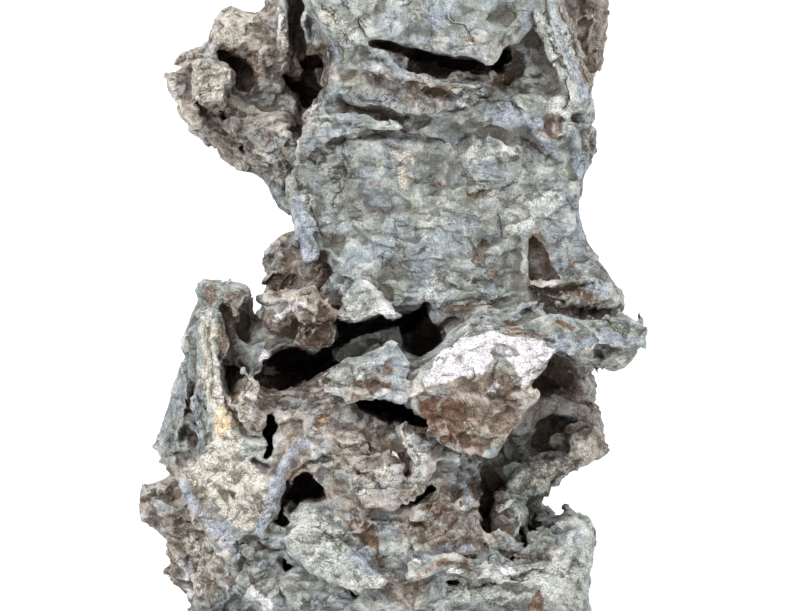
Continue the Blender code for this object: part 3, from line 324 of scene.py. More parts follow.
CRACKS = [
    # the pillar's brow
    (0.7, 1.6, [(363, 136), (380, 133), (398, 131), (414, 136), (450, 141)]),
    (0.6, 1.5, [(330, 97), (345, 100), (360, 104), (375, 111), (388, 119), (402, 125)]),
    (0.5, 1.2, [(350, 125), (375, 128), (402, 133)]),
    (0.6, 1.4, [(372, 72), (378, 80), (390, 88), (402, 92)]),
    (0.9, 2.2, [(398, 84), (412, 85), (426, 82), (436, 88), (450, 92)]),
    (0.6, 1.2, [(470, 103), (480, 101), (486, 98)]),
    (0.6, 0.9, [(405, 108), (418, 112), (433, 110)]),
    (0.7, 1.2, [(444, 107), (456, 108), (468, 106)]),
    # the pillar's face
    (0.7, 1.0, [(462, 194), (478, 193), (490, 190)]),
    (0.6, 0.5, [(500, 191), (508, 183), (521, 180)]),
    (0.7, 0.8, [(452, 144), (457, 141), (468, 133), (482, 131)]),
    (0.6, 0.6, [(498, 212), (503, 225), (505, 238)]),
    (0.6, 1.0, [(310, 207), (315, 215), (318, 225), (322, 233)]),
    (0.5, 0.6, [(318, 208), (322, 216), (325, 224)]),
    (0.7, 1.1, [(296, 174), (303, 189), (308, 200), (312, 213)]),
    (0.8, 1.0, [(318, 165), (326, 162), (332, 155), (330, 150)]),
    (0.9, 1.3, [(333, 175), (338, 179)]),
    (0.7, 0.6, [(342, 146), (344, 165), (339, 185), (331, 202), (330, 214)]),
    (0.7, 1.6, [(321, 283), (322, 295), (321, 306)]),
    (1.0, 2.0, [(480, 240), (484, 246)]),
    # the right side
    (0.8, 2.4, [(520, 137), (532, 147), (545, 153), (558, 156)]),
    (0.7, 1.6, [(563, 80), (568, 95), (571, 110)]),
    (0.7, 1.6, [(548, -20), (548, 0), (550, 25), (556, 50), (563, 68), (566, 88)]),
    (0.6, 1.2, [(531, 0), (537, 30), (541, 55)]),
    (0.6, 1.3, [(562, 0), (568, 30), (576, 52), (584, 68), (588, 84)]),
    (0.9, 2.0, [(553, 60), (552, 66)]),
    (0.9, 2.0, [(540, 72), (540, 77)]),
    (0.7, 1.8, [(510, 107), (515, 109), (524, 111)]),
    (0.7, 1.6, [(562, 115), (566, 118)]),
    # the crown
    (0.5, 0.7, [(303, 4), (315, 20), (330, 37), (350, 56)]),
    (0.4, 0.6, [(318, -4), (333, 18), (348, 38), (364, 52)]),
    (0.4, 0.5, [(335, -10), (350, 15), (366, 38), (378, 48)]),
    (0.4, 0.5, [(440, 5), (450, 20), (468, 30), (474, 48)]),
    # the beak
    (0.9, 2.6, [(528, 284), (541, 287), (560, 287), (592, 285)]),
    (1.4, 4.0, [(529, 288), (545, 298), (558, 307), (575, 315), (592, 319)]),
    (0.6, 1.2, [(592, 319), (605, 326), (613, 333)]),
    (1.0, 2.6, [(594, 342), (598, 352), (597, 361)]),
    (0.8, 2.2, [(492, 300), (478, 297), (463, 300), (447, 302), (437, 309)]),
    (0.6, 1.6, [(478, 320), (490, 321), (500, 324)]),
    (0.5, 0.8, [(520, 315), (535, 308), (547, 303)]),
    # the tower and the block
    (0.8, 2.2, [(222, 300), (225, 330), (223, 362), (227, 395)]),
    (0.8, 2.2, [(227, 395), (233, 415), (246, 433), (257, 441)]),
    (0.9, 2.2, [(197, 378), (195, 393), (203, 403), (206, 416)]),
    (0.9, 2.4, [(180, 435), (189, 429), (194, 440), (196, 452)]),
    (0.6, 1.6, [(199, 452), (207, 451), (217, 450)]),
    (0.9, 2.4, [(306, 326), (309, 334), (309, 342)]),
    (0.5, 1.0, [(296, 292), (306, 294), (316, 292)]),
    # the slab
    (1.1, 3.4, [(415, 421), (428, 438), (445, 449), (458, 454), (470, 464)]),
    (0.8, 2.4, [(441, 437), (449, 440), (458, 446)]),
    (0.8, 1.6, [(497, 362), (494, 380), (502, 396), (515, 400)]),
    (0.5, 0.9, [(470, 362), (476, 372), (472, 384)]),
    # the belly
    (0.6, 1.6, [(250, 457), (262, 464), (271, 470)]),
    (0.6, 1.4, [(225, 490), (233, 492), (237, 498)]),
    (0.8, 2.2, [(325, 532), (334, 540), (341, 548), (345, 536)]),
    (0.8, 1.8, [(297, 468), (306, 462), (322, 459), (334, 462)]),
    (0.8, 2.0, [(407, 529), (418, 525), (430, 532)]),
    (0.7, 1.4, [(408, 545), (416, 556), (424, 562)]),
    (0.9, 3.0, [(467, 556), (478, 557)]),
    (0.9, 2.4, [(498, 551), (512, 554), (527, 560)]),
    (0.7, 1.8, [(486, 543), (491, 552), (488, 562)]),
    (0.6, 1.2, [(500, 575), (520, 574), (548, 568)]),
    (0.6, 0.8, [(470, 590), (500, 580), (530, 580)]),
    (0.6, 1.4, [(280, 582), (283, 592), (290, 603)]),
    (0.7, 1.2, [(320, 603), (335, 597), (350, 596)]),
    (0.7, 1.6, [(236, 543), (243, 555), (250, 566)]),
    (0.6, 1.4, [(258, 542), (268, 548), (283, 549)]),
    (0.5, 0.9, [(340, 452), (362, 447), (384, 452)]),
    (0.5, 0.9, [(352, 470), (370, 478), (383, 490)]),
    (0.6, 1.2, [(395, 498), (407, 500), (417, 503)]),
    (0.9, 2.6, [(567, 440), (566, 448), (568, 453)]),
]
RIBS = [
    # beside the left cave, and down the lower left edge
    (1.5, 2.2, [(318, 432), (305, 437), (293, 448), (283, 466), (277, 488), (273, 508), (266, 532)]),
    (1.4, 1.8, [(180, 478), (192, 500), (208, 524), (228, 552), (246, 580), (262, 603), (270, 618)]),
    # the lip and the pillar's brow
    (0.9, 0.8, [(372, 60), (380, 66), (392, 78), (408, 84)]),
    (1.0, 1.0, [(303, 118), (325, 110), (350, 108), (375, 118), (398, 128)]),
    (0.8, 0.9, [(320, 125), (350, 118), (380, 122), (405, 127)]),
    (0.9, 0.9, [(345, 146), (375, 142), (405, 146), (440, 146)]),
    # the folds of the right side
    (1.2, 1.2, [(540, -20), (543, 0), (546, 25), (552, 50), (558, 72)]),
    (1.2, 1.2, [(555, -20), (557, 0), (562, 25), (571, 50), (580, 70), (586, 86)]),
    (1.4, 1.6, [(498, 96), (510, 100), (525, 112), (534, 126), (541, 137), (552, 146), (566, 152)]),
    (1.2, 1.2, [(571, 120), (577, 140), (580, 160), (578, 176)]),
    # the pillar's left edge
    (0.9, 1.0, [(286, 180), (291, 200), (297, 228), (300, 258)]),
    (0.8, 1.0, [(312, 214), (318, 230), (320, 250)]),
    # the beak
    (0.9, 1.2, [(437, 300), (452, 295), (472, 291), (492, 294)]),
    (0.9, 1.0, [(500, 327), (530, 338), (558, 346), (590, 350)]),
    (1.3, 1.0, [(600, 334), (620, 336), (642, 340)]),
    (0.8, 1.0, [(560, 297), (585, 306), (610, 312)]),
    # the belly
    (0.9, 1.4, [(336, 412), (346, 399), (360, 394), (380, 393), (398, 396), (412, 405), (428, 420)]),
    (1.3, 1.6, [(414, 440), (424, 460), (424, 480), (415, 498)]),
    (1.2, 1.4, [(440, 480), (455, 482), (470, 480), (478, 490), (476, 510)]),
    (1.0, 1.2, [(290, 540), (310, 545), (330, 556), (352, 580), (372, 600)]),
    (0.9, 1.2, [(250, 520), (262, 536), (280, 542), (300, 538)]),
    (0.9, 1.2, [(430, 570), (450, 560), (474, 564), (490, 575)]),
    (1.0, 1.4, [(505, 565), (530, 566), (552, 556)]),
    (1.0, 1.2, [(530, 530), (545, 535), (560, 545), (562, 556)]),
    # the tower
    (0.9, 1.4, [(205, 300), (204, 330), (208, 365), (212, 400), (222, 430)]),
    (0.8, 1.2, [(214, 305), (216, 340), (218, 370)]),
    (0.9, 1.2, [(186, 330), (190, 360), (190, 395)]),
    (0.7, 1.2, [(237, 392), (236, 412), (244, 428)]),
    # behind
    (1.5, 1.6, [(200, 100), (225, 118), (240, 140)]),
    (1.2, 1.6, [(262, 60), (270, 80), (285, 95), (300, 118)]),
    (1.4, 1.4, [(240, 150), (262, 170), (280, 190)]),
    (1.4, 1.8, [(165, 545), (185, 565), (205, 590)]),
    (1.3, 1.8, [(190, 530), (208, 560), (230, 595)]),
    (1.3, 1.6, [(150, 495), (163, 512), (176, 535)]),
]

# ------------------------------------------------------------------ zones and patches, on the grid
# Each oval is (column, row, half length, half width, turn in degrees, strength).

SMOOTH_ZONES = [
    (430, 10, 120, 52, 4, 0.8), (548, 40, 26, 80, 0, 0.7), (590, 90, 12, 90, 0, 0.5),
    (520, 122, 34, 16, 20, 0.5), (585, 335, 60, 13, 8, 0.7), (488, 352, 60, 22, 0, 0.6),
    (575, 575, 24, 60, 0, 0.7), (430, 215, 120, 80, 0, 0.6), (560, 200, 34, 60, 0, 0.6),
    (210, 76, 24, 18, 0, 0.6), (212, 370, 12, 80, 0, 0.4), (280, 500, 10, 60, 10, 0.7),
    (370, 564, 12, 26, -45, 0.7), (320, 545, 34, 26, 20, 0.4), (303, 230, 12, 40, 0, 0.6),
    (520, 596, 60, 24, 0, 0.6), (230, 490, 40, 34, 0, 0.3),
]
ROUGH_ZONES = [
    (360, 460, 44, 22, 0, 0.8), (440, 512, 44, 30, 0, 0.9), (300, 400, 40, 16, 0, 0.7),
    (545, 470, 34, 12, -30, 0.7), (520, 540, 36, 26, 0, 0.9), (318, 325, 22, 22, 0, 0.9),
    (230, 325, 10, 26, 0, 0.9), (190, 400, 14, 12, 0, 0.9), (175, 440, 20, 16, 0, 0.6),
    (570, 300, 34, 10, 10, 0.8), (505, 305, 30, 10, 0, 0.7), (446, 90, 50, 7, 8, 0.7),
    (320, 155, 18, 14, 0, 0.7), (586, 40, 16, 40, 0, 0.8), (250, 405, 20, 30, 0, 0.7),
    (440, 422, 26, 28, 20, 0.6), (370, 540, 18, 24, 0, 0.7), (250, 560, 24, 16, 30, 0.6),
    (180, 560, 40, 60, 0, 0.6), (355, 380, 30, 8, 0, 0.7), (590, 140, 10, 30, 0, 0.8),
]
UPRIGHT_ZONES = [
    (205, 370, 40, 90, 0, 1.0), (560, 30, 34, 90, 0, 1.0), (285, 20, 30, 60, 0, 1.0),
    (590, 40, 24, 60, 0, 1.0),
]
SLANTED_ZONES = [
    (350, 20, 90, 60, 30, 1.0), (230, 560, 70, 80, 0, 1.0), (570, 310, 70, 34, 12, 0.8),
    (330, 570, 90, 50, 0, 0.6),
]
# Hollows whose walls catch some light, and so get less of the painted shade.
OPEN_ZONES = [
    (365, 346, 50, 26, -20, 0.9), (300, 372, 40, 22, 0, 0.8), (540, 438, 44, 30, -25, 0.85),
    (440, 68, 80, 16, 6, 0.5), (400, 424, 60, 20, 25, 0.5), (300, 496, 30, 24, 0, 0.4),
    (488, 488, 20, 18, 0, 0.55), (560, 376, 30, 24, 0, 0.45), (376, 424, 18, 10, 20, 0.7),
    (545, 522, 12, 10, 0, 0.6), (518, 66, 12, 22, 10, 0.5), (300, 62, 14, 14, 0, 0.3),
    (524, 540, 12, 14, 0, 0.5), (300, 325, 40, 30, 0, 0.4), (284, 510, 6, 14, 20, 0.6),
    (565, 420, 40, 30, 0, 0.4), (200, 560, 60, 60, 0, 0.4), (225, 120, 60, 40, 0, 0.4),
    (430, 486, 10, 8, 0, 0.5),
]

# Painted patches, by the name of their finish; deep, and umber in places, are painted shade.
PATCHES = {
    "pale": [
        (555, 70, 26, 60, -6, 0.8), (590, 110, 12, 50, 0, 0.5), (580, 560, 16, 40, 0, 0.7),
        (500, 590, 70, 14, 0, 0.6), (570, 405, 30, 6, 20, 0.6), (420, 8, 90, 26, 4, 0.3),
        (350, 34, 30, 8, 45, 0.3), (400, 128, 44, 8, 6, 0.5), (490, 150, 50, 10, -6, 0.6),
        (540, 205, 24, 16, 0, 0.8), (520, 222, 14, 12, 0, 0.8), (440, 285, 14, 26, 0, 0.6),
        (345, 290, 14, 10, 0, 0.4), (590, 272, 14, 6, 0, 0.7), (465, 330, 24, 6, -14, 0.4),
        (620, 358, 18, 7, 0, 0.6), (425, 100, 20, 10, 0, 0.5), (400, 230, 90, 40, 0, 0.30),
        (225, 455, 26, 16, 0, 0.7), (515, 400, 14, 20, 0, 0.3), (362, 488, 30, 8, -10, 0.7),
        (330, 440, 40, 8, -20, 0.3), (180, 345, 10, 30, 20, 0.5), (170, 440, 14, 20, 0, 0.3),
        (460, 576, 30, 12, 0, 0.5), (190, 122, 30, 6, 50, 0.7), (250, 130, 26, 10, 30, 0.3),
    ],
    "white": [
        (497, 388, 7, 8, 0, 0.5), (284, 312, 17, 8, -45, 0.75), (264, 354, 5, 5, 0, 1.0),
        (303, 305, 8, 4, 20, 0.6), (446, 574, 14, 4, 0, 0.9), (484, 572, 12, 4, -40, 0.9),
        (416, 562, 7, 4, 0, 1.0), (508, 568, 9, 4, 20, 0.9), (574, 66, 6, 5, 0, 0.5),
        (374, 70, 3, 6, 20, 1.0), (588, 18, 6, 5, 0, 1.0), (596, 34, 6, 6, 0, 0.7),
        (462, 101, 5, 3, -20, 1.0), (262, 600, 5, 26, -35, 0.9), (312, 106, 7, 5, -30, 1.0),
        (185, 568, 8, 14, -20, 0.9), (222, 585, 7, 10, -30, 0.8), (192, 590, 8, 6, 0, 0.7),
        (280, 20, 5, 26, 0, 0.6), (322, 218, 9, 6, 20, 0.6), (545, 196, 10, 10, 0, 0.5),
    ],
    "cream": [
        # The first cream oval is painted light on the shaded arch.
        (540, 444, 30, 16, -30, 0.5), (225, 115, 44, 30, 30, 0.6), (232, 25, 36, 22, 0, 0.6),
        (195, 560, 30, 44, -20, 0.65), (270, 165, 26, 14, 40, 0.6), (405, 157, 15, 8, 10, 0.9),
        (405, 176, 9, 11, 0, 0.8), (340, 28, 40, 4, 48, 0.5), (318, 12, 30, 4, 48, 0.5),
        (510, 262, 14, 16, 0, 0.35), (400, 365, 14, 16, 30, 0.4), (536, 480, 34, 12, -32, 0.5),
        (585, 450, 18, 16, 0, 0.7), (560, 402, 34, 6, 14, 0.3), (480, 145, 24, 12, -10, 0.4),
        (595, 355, 30, 10, 0, 0.4), (180, 115, 8, 40, -30, 0.7), (246, 408, 9, 24, 0, 0.6),
        (270, 392, 10, 6, 0, 0.5), (300, 420, 40, 20, 0, 0.35), (395, 476, 18, 16, 0, 0.5),
        (468, 510, 14, 10, 0, 0.4), (545, 560, 22, 8, -30, 0.5), (208, 20, 16, 20, 0, 0.4),
        (240, 24, 20, 10, 0, 0.4),
    ],
    "gold": [(221, 422, 9, 14, 10, 1.0), (322, 418, 8, 6, 20, 0.6), (398, 474, 10, 6, 40, 0.5)],
    "blue": [
        (528, 18, 6, 22, -12, 0.8), (562, 40, 8, 40, -16, 0.6), (578, 78, 9, 30, -20, 0.7),
        (515, 118, 26, 12, 15, 0.8), (550, 148, 24, 5, 35, 0.9), (582, 168, 9, 16, 10, 1.0),
        (578, 215, 7, 34, -8, 0.7), (301, 226, 8, 40, -8, 0.8), (305, 250, 9, 14, 0, 0.9),
        (334, 52, 7, 12, 0, 0.8), (344, 64, 16, 5, -10, 0.5), (600, 292, 18, 8, 20, 0.5),
        (434, 20, 7, 16, -5, 0.9), (300, 190, 12, 20, -20, 0.4), (420, 262, 36, 20, 0, 0.35),
        (345, 150, 3, 10, 8, 0.6), (515, 575, 24, 5, -6, 0.4), (318, 95, 12, 10, 0, 0.4),
        (190, 330, 6, 20, 10, 0.5), (212, 345, 7, 22, 0, 0.4), (240, 352, 12, 10, -40, 0.5),
        (258, 360, 16, 6, -45, 0.5), (340, 372, 12, 5, -30, 0.4), (310, 418, 6, 8, 0, 0.4),
        (390, 310, 8, 10, 0, 0.4), (352, 300, 10, 12, 0, 0.4), (580, 540, 12, 16, 0, 0.5),
        (480, 404, 20, 30, 10, 0.3), (196, 426, 5, 14, 0, 0.8), (480, 210, 14, 6, 0, 0.3),
        (455, 225, 20, 6, 10, 0.2),
    ],
    "rust": [
        (511, 327, 14, 4, 25, 1.0), (564, 326, 12, 4, 20, 1.0), (577, 333, 10, 3, 8, 0.9),
        (474, 328, 18, 3, -8, 0.6), (320, 420, 10, 8, 20, 0.7), (338, 538, 6, 6, 0, 0.8),
        (408, 484, 5, 8, 30, 0.6), (494, 272, 6, 5, 0, 0.7), (572, 265, 5, 5, 0, 0.8),
        (592, 246, 7, 8, -30, 0.7), (296, 472, 10, 3, -40, 0.9), (386, 370, 10, 12, 20, 0.5),
        (440, 508, 10, 10, 0, 0.5), (533, 604, 8, 8, 0, 0.8), (290, 566, 9, 3, 30, 0.8),
        (318, 458, 24, 5, 0, 0.4), (535, 221, 12, 3, -8, 0.4), (318, 243, 4, 9, 0, 0.3),
        (444, 5, 6, 8, -40, 0.4), (446, 90, 8, 4, 0, 0.7), (436, 184, 12, 4, 0, 0.5),
        (422, 527, 9, 6, 0, 0.7), (560, 285, 26, 3, 8, 0.4), (392, 384, 18, 5, 0, 0.5),
        (440, 470, 20, 8, 0, 0.3), (370, 450, 30, 8, 20, 0.25),
    ],
    # Umber: brown stain, and in places painted shade under overhangs and in recesses.
    "umber": [
        (420, 100, 56, 9, 8, 0.4), (350, 90, 20, 6, 30, 0.4), (555, 118, 12, 26, 0, 0.4),
        (378, 186, 14, 4, 10, 0.6), (362, 168, 9, 4, 40, 0.5), (440, 181, 16, 4, -8, 0.5),
        (478, 193, 16, 3, 0, 0.6), (512, 184, 16, 3, -12, 0.6), (502, 226, 3, 16, 0, 0.5),
        (335, 206, 4, 16, 10, 0.5), (346, 180, 3, 14, 0, 0.4), (400, 140, 40, 3, 6, 0.5),
        (470, 250, 20, 5, 20, 0.3), (390, 245, 30, 3, -10, 0.3), (550, 124, 14, 16, 10, 0.8),
        (210, 291, 12, 11, 0, 0.7), (237, 296, 14, 9, 0, 0.8), (318, 322, 20, 22, 0, 0.8),
        (272, 322, 12, 18, 0, 0.6), (494, 420, 26, 30, 0, 0.95), (476, 400, 22, 24, 0, 0.6),
        (424, 88, 30, 4, 8, 0.8), (484, 48, 20, 18, 0, 0.3), (500, 72, 12, 12, 0, 0.5),
        (540, 258, 9, 24, -12, 0.7), (478, 256, 12, 20, 0, 0.45), (466, 306, 30, 7, -3, 0.8),
        (574, 298, 30, 7, 18, 0.8), (608, 344, 9, 10, 0, 0.7), (230, 335, 7, 30, 0, 0.8),
        (590, 30, 14, 44, -6, 0.4), (295, 350, 20, 8, 0, 0.7), (288, 368, 30, 14, 0, 0.9),
        (588, 140, 8, 20, 0, 0.6), (320, 272, 12, 14, 0, 0.9), (380, 130, 36, 3, 8, 0.5),
        (300, 456, 10, 4, -30, 0.5), (375, 384, 24, 5, 0, 0.8), (434, 512, 18, 14, 0, 0.4),
        (518, 558, 14, 5, 0, 0.8), (282, 430, 7, 26, 0, 0.5), (390, 358, 8, 14, 0, 0.4),
        (188, 398, 14, 9, 0, 0.5), (184, 437, 10, 5, 0, 0.7), (345, 80, 16, 14, 0, 0.35),
        (386, 74, 12, 10, 20, 0.5), (366, 495, 20, 3, 0, 0.4), (318, 600, 20, 5, -20, 0.5),
        (262, 548, 24, 4, 20, 0.5), (340, 470, 30, 14, 0, 0.35), (376, 440, 30, 10, 20, 0.3),
        (430, 530, 24, 5, 0, 0.4), (455, 500, 20, 6, 0, 0.35), (205, 480, 8, 5, 0, 0.4),
        (320, 155, 10, 12, 20, 0.4), (205, 16, 8, 10, 0, 0.3), (225, 40, 20, 12, 0, 0.4),
        (320, 400, 14, 6, 20, 0.4), (520, 395, 14, 5, -20, 0.5),
    ],
}
# Patches with a drawn edge: (strength, outline).
PATCH_OUTLINES = {
    "pale": [
        (0.9, [(288, 514), (300, 508), (320, 512), (345, 512), (350, 526), (344, 542), (336, 552),
               (352, 556), (366, 572), (386, 586), (372, 594), (350, 588), (330, 578), (310, 566),
               (296, 556), (286, 540)]),
        (0.85, [(318, 396), (330, 388), (342, 378), (356, 366), (372, 358), (378, 366), (364, 376),
                (353, 386), (350, 398), (346, 404), (330, 404)]),
        (0.8, [(396, 426), (404, 424), (414, 432), (426, 444), (440, 452), (430, 460), (422, 466),
               (424, 480), (420, 492), (410, 492), (404, 480), (412, 474), (408, 462), (398, 448),
               (388, 438)]),
        (0.85, [(430, 596), (470, 582), (500, 574), (540, 566), (562, 552), (566, 536), (580, 526),
               (594, 522), (592, 570), (582, 610), (550, 600), (520, 590), (480, 598), (450, 608)]),
        (0.7, [(512, 482), (530, 468), (548, 460), (562, 458), (560, 472), (548, 486), (530, 498),
               (514, 500), (506, 508), (494, 512), (504, 496)]),
        (0.6, [(494, 514), (506, 506), (524, 506), (526, 518), (514, 526), (500, 530), (490, 522)]),
        (0.5, [(302, 118), (330, 110), (350, 112), (376, 118), (392, 126), (360, 124), (330, 128),
               (308, 140)]),
    ],
    "white": [
        (1.0, [(457, 341), (464, 335), (486, 334), (492, 329), (505, 335), (526, 339), (546, 345),
               (558, 350), (548, 360), (538, 370), (526, 380), (518, 377), (513, 366), (504, 357),
               (496, 360), (488, 366), (478, 372), (462, 376), (448, 382), (436, 386), (424, 388),
               (418, 380), (428, 371), (434, 361), (442, 353), (452, 349)]),
        (0.22, [(497, 418), (508, 418), (523, 424), (512, 432), (504, 440), (497, 452), (488, 457),
               (480, 451), (486, 440), (491, 428)]),
        (0.52, [(342, 304), (352, 298), (358, 282), (366, 274), (376, 288), (386, 296), (396, 302),
                (396, 312), (384, 316), (372, 322), (356, 325), (344, 320)]),
    ],
    "cream": [
        (0.9, [(188, 462), (200, 456), (216, 452), (240, 454), (256, 464), (268, 478), (270, 496),
               (264, 520), (256, 536), (244, 534), (232, 522), (216, 508), (202, 494), (190, 480)]),
        (0.75, [(201, 308), (214, 308), (221, 330), (218, 360), (222, 386), (228, 408), (232, 430),
                (244, 446), (228, 456), (204, 452), (210, 430), (207, 404), (203, 384), (199, 350)]),
        (0.8, [(193, 62), (200, 58), (216, 62), (228, 68), (237, 78), (230, 86), (222, 88), (214, 98),
               (202, 98), (190, 92)]),
        (0.7, [(277, -20), (289, -20), (291, 30), (288, 50), (280, 52), (276, 30)]),
        (0.5, [(352, 470), (376, 462), (398, 462), (410, 472), (414, 488), (400, 496), (384, 490),
               (366, 494), (350, 490)]),
    ],
    "blue": [
        (1.0, [(286, 450), (296, 444), (308, 436), (320, 432), (306, 446), (296, 458), (286, 476),
               (282, 496), (278, 514), (270, 528), (262, 538), (254, 540), (262, 524), (268, 506),
               (272, 482), (278, 462)]),
        (1.0, [(350, 546), (362, 544), (372, 556), (382, 568), (395, 579), (388, 582), (374, 578),
               (362, 570), (354, 560)]),
        (0.8, [(420, 556), (436, 546), (456, 540), (478, 542), (480, 549), (460, 552), (440, 558),
               (424, 563)]),
        (0.7, [(438, 484), (452, 481), (468, 480), (474, 488), (476, 504), (470, 507), (462, 494),
               (446, 490)]),
        (0.7, [(352, 398), (372, 393), (396, 394), (411, 400), (404, 405), (380, 400), (356, 403)]),
        (0.75, [(540, 340), (560, 334), (590, 338), (620, 334), (646, 336), (641, 348), (612, 346),
                (592, 352), (566, 353), (550, 348)]),
        (0.8, [(174, 476), (186, 482), (200, 500), (216, 520), (232, 538), (246, 556), (238, 557),
               (222, 544), (204, 526), (189, 507), (180, 493)]),
        (0.5, [(306, 546), (322, 540), (340, 552), (350, 560), (340, 562), (322, 558)]),
        (0.6, [(396, 430), (410, 432), (424, 444), (430, 452), (418, 450), (406, 442)]),
    ],
    "rust": [
        (1.0, [(424, 397), (440, 393), (460, 398), (469, 408), (469, 420), (464, 430), (474, 438),
               (486, 450), (478, 458), (466, 455), (462, 446), (442, 447), (428, 432), (417, 418),
               (417, 406)]),
        (0.8, [(498, 321), (508, 322), (520, 330), (534, 336), (544, 342), (530, 341), (512, 335),
               (500, 328)]),
        (0.75, [(348, 518), (362, 514), (374, 522), (380, 538), (376, 552), (386, 566), (380, 570),
                (370, 556), (358, 546), (350, 536)]),
        (0.7, [(432, 557), (446, 555), (468, 560), (474, 570), (458, 570), (440, 568), (426, 576),
               (418, 590), (410, 600), (408, 588), (418, 572)]),
    ],
    # Umber: brown stain, and in places painted shade under overhangs and in recesses.
    "umber": [
        (0.4, [(452, 32), (470, 24), (492, 30), (506, 42), (508, 58), (502, 74), (494, 80), (484, 72),
                (470, 66), (458, 58)]),
        (0.45, [(370, 39), (400, 41), (430, 50), (458, 54), (470, 66), (440, 61), (410, 56), (384, 48)]),
        (1.0, [(300, 302), (318, 302), (330, 308), (337, 322), (335, 340), (322, 349), (306, 346),
               (296, 332), (284, 336), (280, 346), (272, 336), (288, 322)]),
        (0.8, [(495, 368), (502, 366), (508, 374), (516, 380), (524, 388), (538, 394), (530, 402),
               (516, 406), (502, 410), (494, 404), (490, 394), (494, 382)]),
        (0.75, [(386, 68), (400, 76), (414, 80), (436, 82), (452, 82), (460, 88), (454, 97), (444, 98),
                (434, 90), (420, 84), (408, 91), (396, 88), (388, 80)]),
    ],
    # Deep: painted shade in the darkest hollows and on the shaded block.
    "deep": [
        (0.8, [(286, 300), (302, 318), (332, 320), (334, 346), (300, 348), (274, 334)]),
        (0.35, [(498, 452), (508, 436), (522, 422), (536, 412), (556, 411), (578, 418), (566, 428),
               (552, 440), (536, 456), (516, 468), (500, 482), (480, 476), (466, 462), (480, 460)]),
        (0.9, [(468, 478), (480, 472), (506, 476), (506, 490), (496, 512), (476, 512)]),
        (0.8, [(552, 352), (562, 352), (576, 364), (584, 388), (572, 396), (546, 392), (526, 388),
               (538, 374)]),
        (0.6, [(376, 44), (400, 46), (444, 58), (480, 66), (496, 78), (512, 46), (528, 52), (530, 72),
               (516, 90), (488, 88), (440, 82), (408, 72), (390, 56)]),
        (0.7, [(210, 40), (250, 46), (260, 66), (262, 98), (246, 100), (234, 84), (236, 70), (222, 58)]),
        (0.7, [(292, 46), (330, 42), (334, 90), (316, 108), (300, 108), (276, 76)]),
        (0.9, [(250, 366), (286, 350), (320, 350), (334, 368), (326, 384), (296, 394), (262, 394)]),
        (0.7, [(346, 402), (380, 400), (410, 404), (446, 446), (420, 440), (384, 432), (356, 420)]),
    ],
}
# Parts whose ground is a warmer grey.
WARM_ZONES = [
    (350, 470, 90, 50, 0, 0.8), (450, 520, 60, 40, 0, 0.8), (225, 90, 90, 90, 0, 0.9),
    (470, 400, 60, 50, 0, 0.7), (560, 430, 60, 60, 0, 0.7), (590, 30, 30, 60, 0, 0.9),
    (170, 540, 60, 80, 0, 0.9), (300, 330, 50, 60, 0, 0.7), (580, 295, 60, 18, 15, 0.5),
    (270, 260, 30, 40, 0, 1.0), (385, 85, 70, 14, 10, 0.5), (290, 400, 60, 30, 0, 0.7),
    (232, 335, 14, 50, 0, 0.7), (400, 590, 40, 20, 0, 0.5), (250, 400, 30, 40, 0, 0.6),
]

# ------------------------------------------------------------------ small tools


def read_points(mesh):
    """Vertex places as an array."""
    places = np.empty(len(mesh.vertices) * 3, np.float32)
    mesh.vertices.foreach_get("co", places)
    return places.reshape(-1, 3).astype(np.float64)


def write_points(mesh, places):
    """Set vertex places from an array."""
    mesh.vertices.foreach_set("co", places.astype(np.float32).ravel())
    mesh.update()


def read_normals(mesh):
    """Vertex normals as an array."""
    normals = np.empty(len(mesh.vertices) * 3, np.float32)
    mesh.vertex_normals.foreach_get("vector", normals)
    return normals.reshape(-1, 3).astype(np.float64)


def read_edges(mesh):
    """Vertex pairs of the edges as an array."""
    pairs = np.empty(len(mesh.edges) * 2, np.int32)
    mesh.edges.foreach_get("vertices", pairs)
    return pairs.reshape(-1, 2)


def skin_tree(mesh, places):
    """A tree of a mesh's faces, for casting rays at them."""
    return BVHTree.FromPolygons([tuple(place) for place in places],
                                [tuple(face.vertices) for face in mesh.polygons])


def sum_of_neighbours(places, pairs):
    """For each place, the sum of the places that an edge joins it to."""
    total = np.zeros_like(places)
    for axis in range(3):
        total[:, axis] = (np.bincount(pairs[:, 0], places[pairs[:, 1], axis], len(places))
                          + np.bincount(pairs[:, 1], places[pairs[:, 0], axis], len(places)))
    return total


def write_values(mesh, name, values):
    """Store one number for each vertex under a name."""
    store = mesh.attributes.get(name) or mesh.attributes.new(name, "FLOAT", "POINT")
    store.data.foreach_set("value", values.astype(np.float32))


def to_grid(places):
    """Grid column and row of each place, as it is seen from the eye."""
    step = GRID_STEP * (1.0 + places[:, 1] / SIGHT_DISTANCE)
    return EYE_COLUMN + places[:, 0] / step, EYE_ROW - (places[:, 2] - EYE_HEIGHT) / step


def sight_line(column, row):
    """Direction from the eye to a grid point."""
    target = Vector(((column - EYE_COLUMN) * GRID_STEP, 0.0, EYE_HEIGHT + (EYE_ROW - row) * GRID_STEP))
    return (target - EYE).normalized()


def wobble(places, size, seed):
    """Smooth waves from about -1 to 1 at each place, whose crests lie about a size apart."""
    waves = 14
    numbers = np.random.default_rng(seed)
    ways = numbers.normal(size=(waves, 3))
    ways *= (numbers.uniform(0.6, 1.7, waves) / np.linalg.norm(ways, axis=1))[:, None]
    starts = numbers.uniform(0.0, math.tau, waves)
    total = np.zeros(len(places))
    for way, start in zip(ways, starts):
        total += np.sin(places @ way * (math.tau / size) + start)
    return total / math.sqrt(waves)


def wandering_grid(places):
    """Grid column and row of each place, led astray a little so that drawn edges come out ragged."""
    columns, rows = to_grid(places)
    for seed, (size, steps) in enumerate(WANDER):
        columns = columns + steps * wobble(places, size, 2 * seed + 1)
        rows = rows + steps * wobble(places, size, 2 * seed + 2)
    return columns, rows


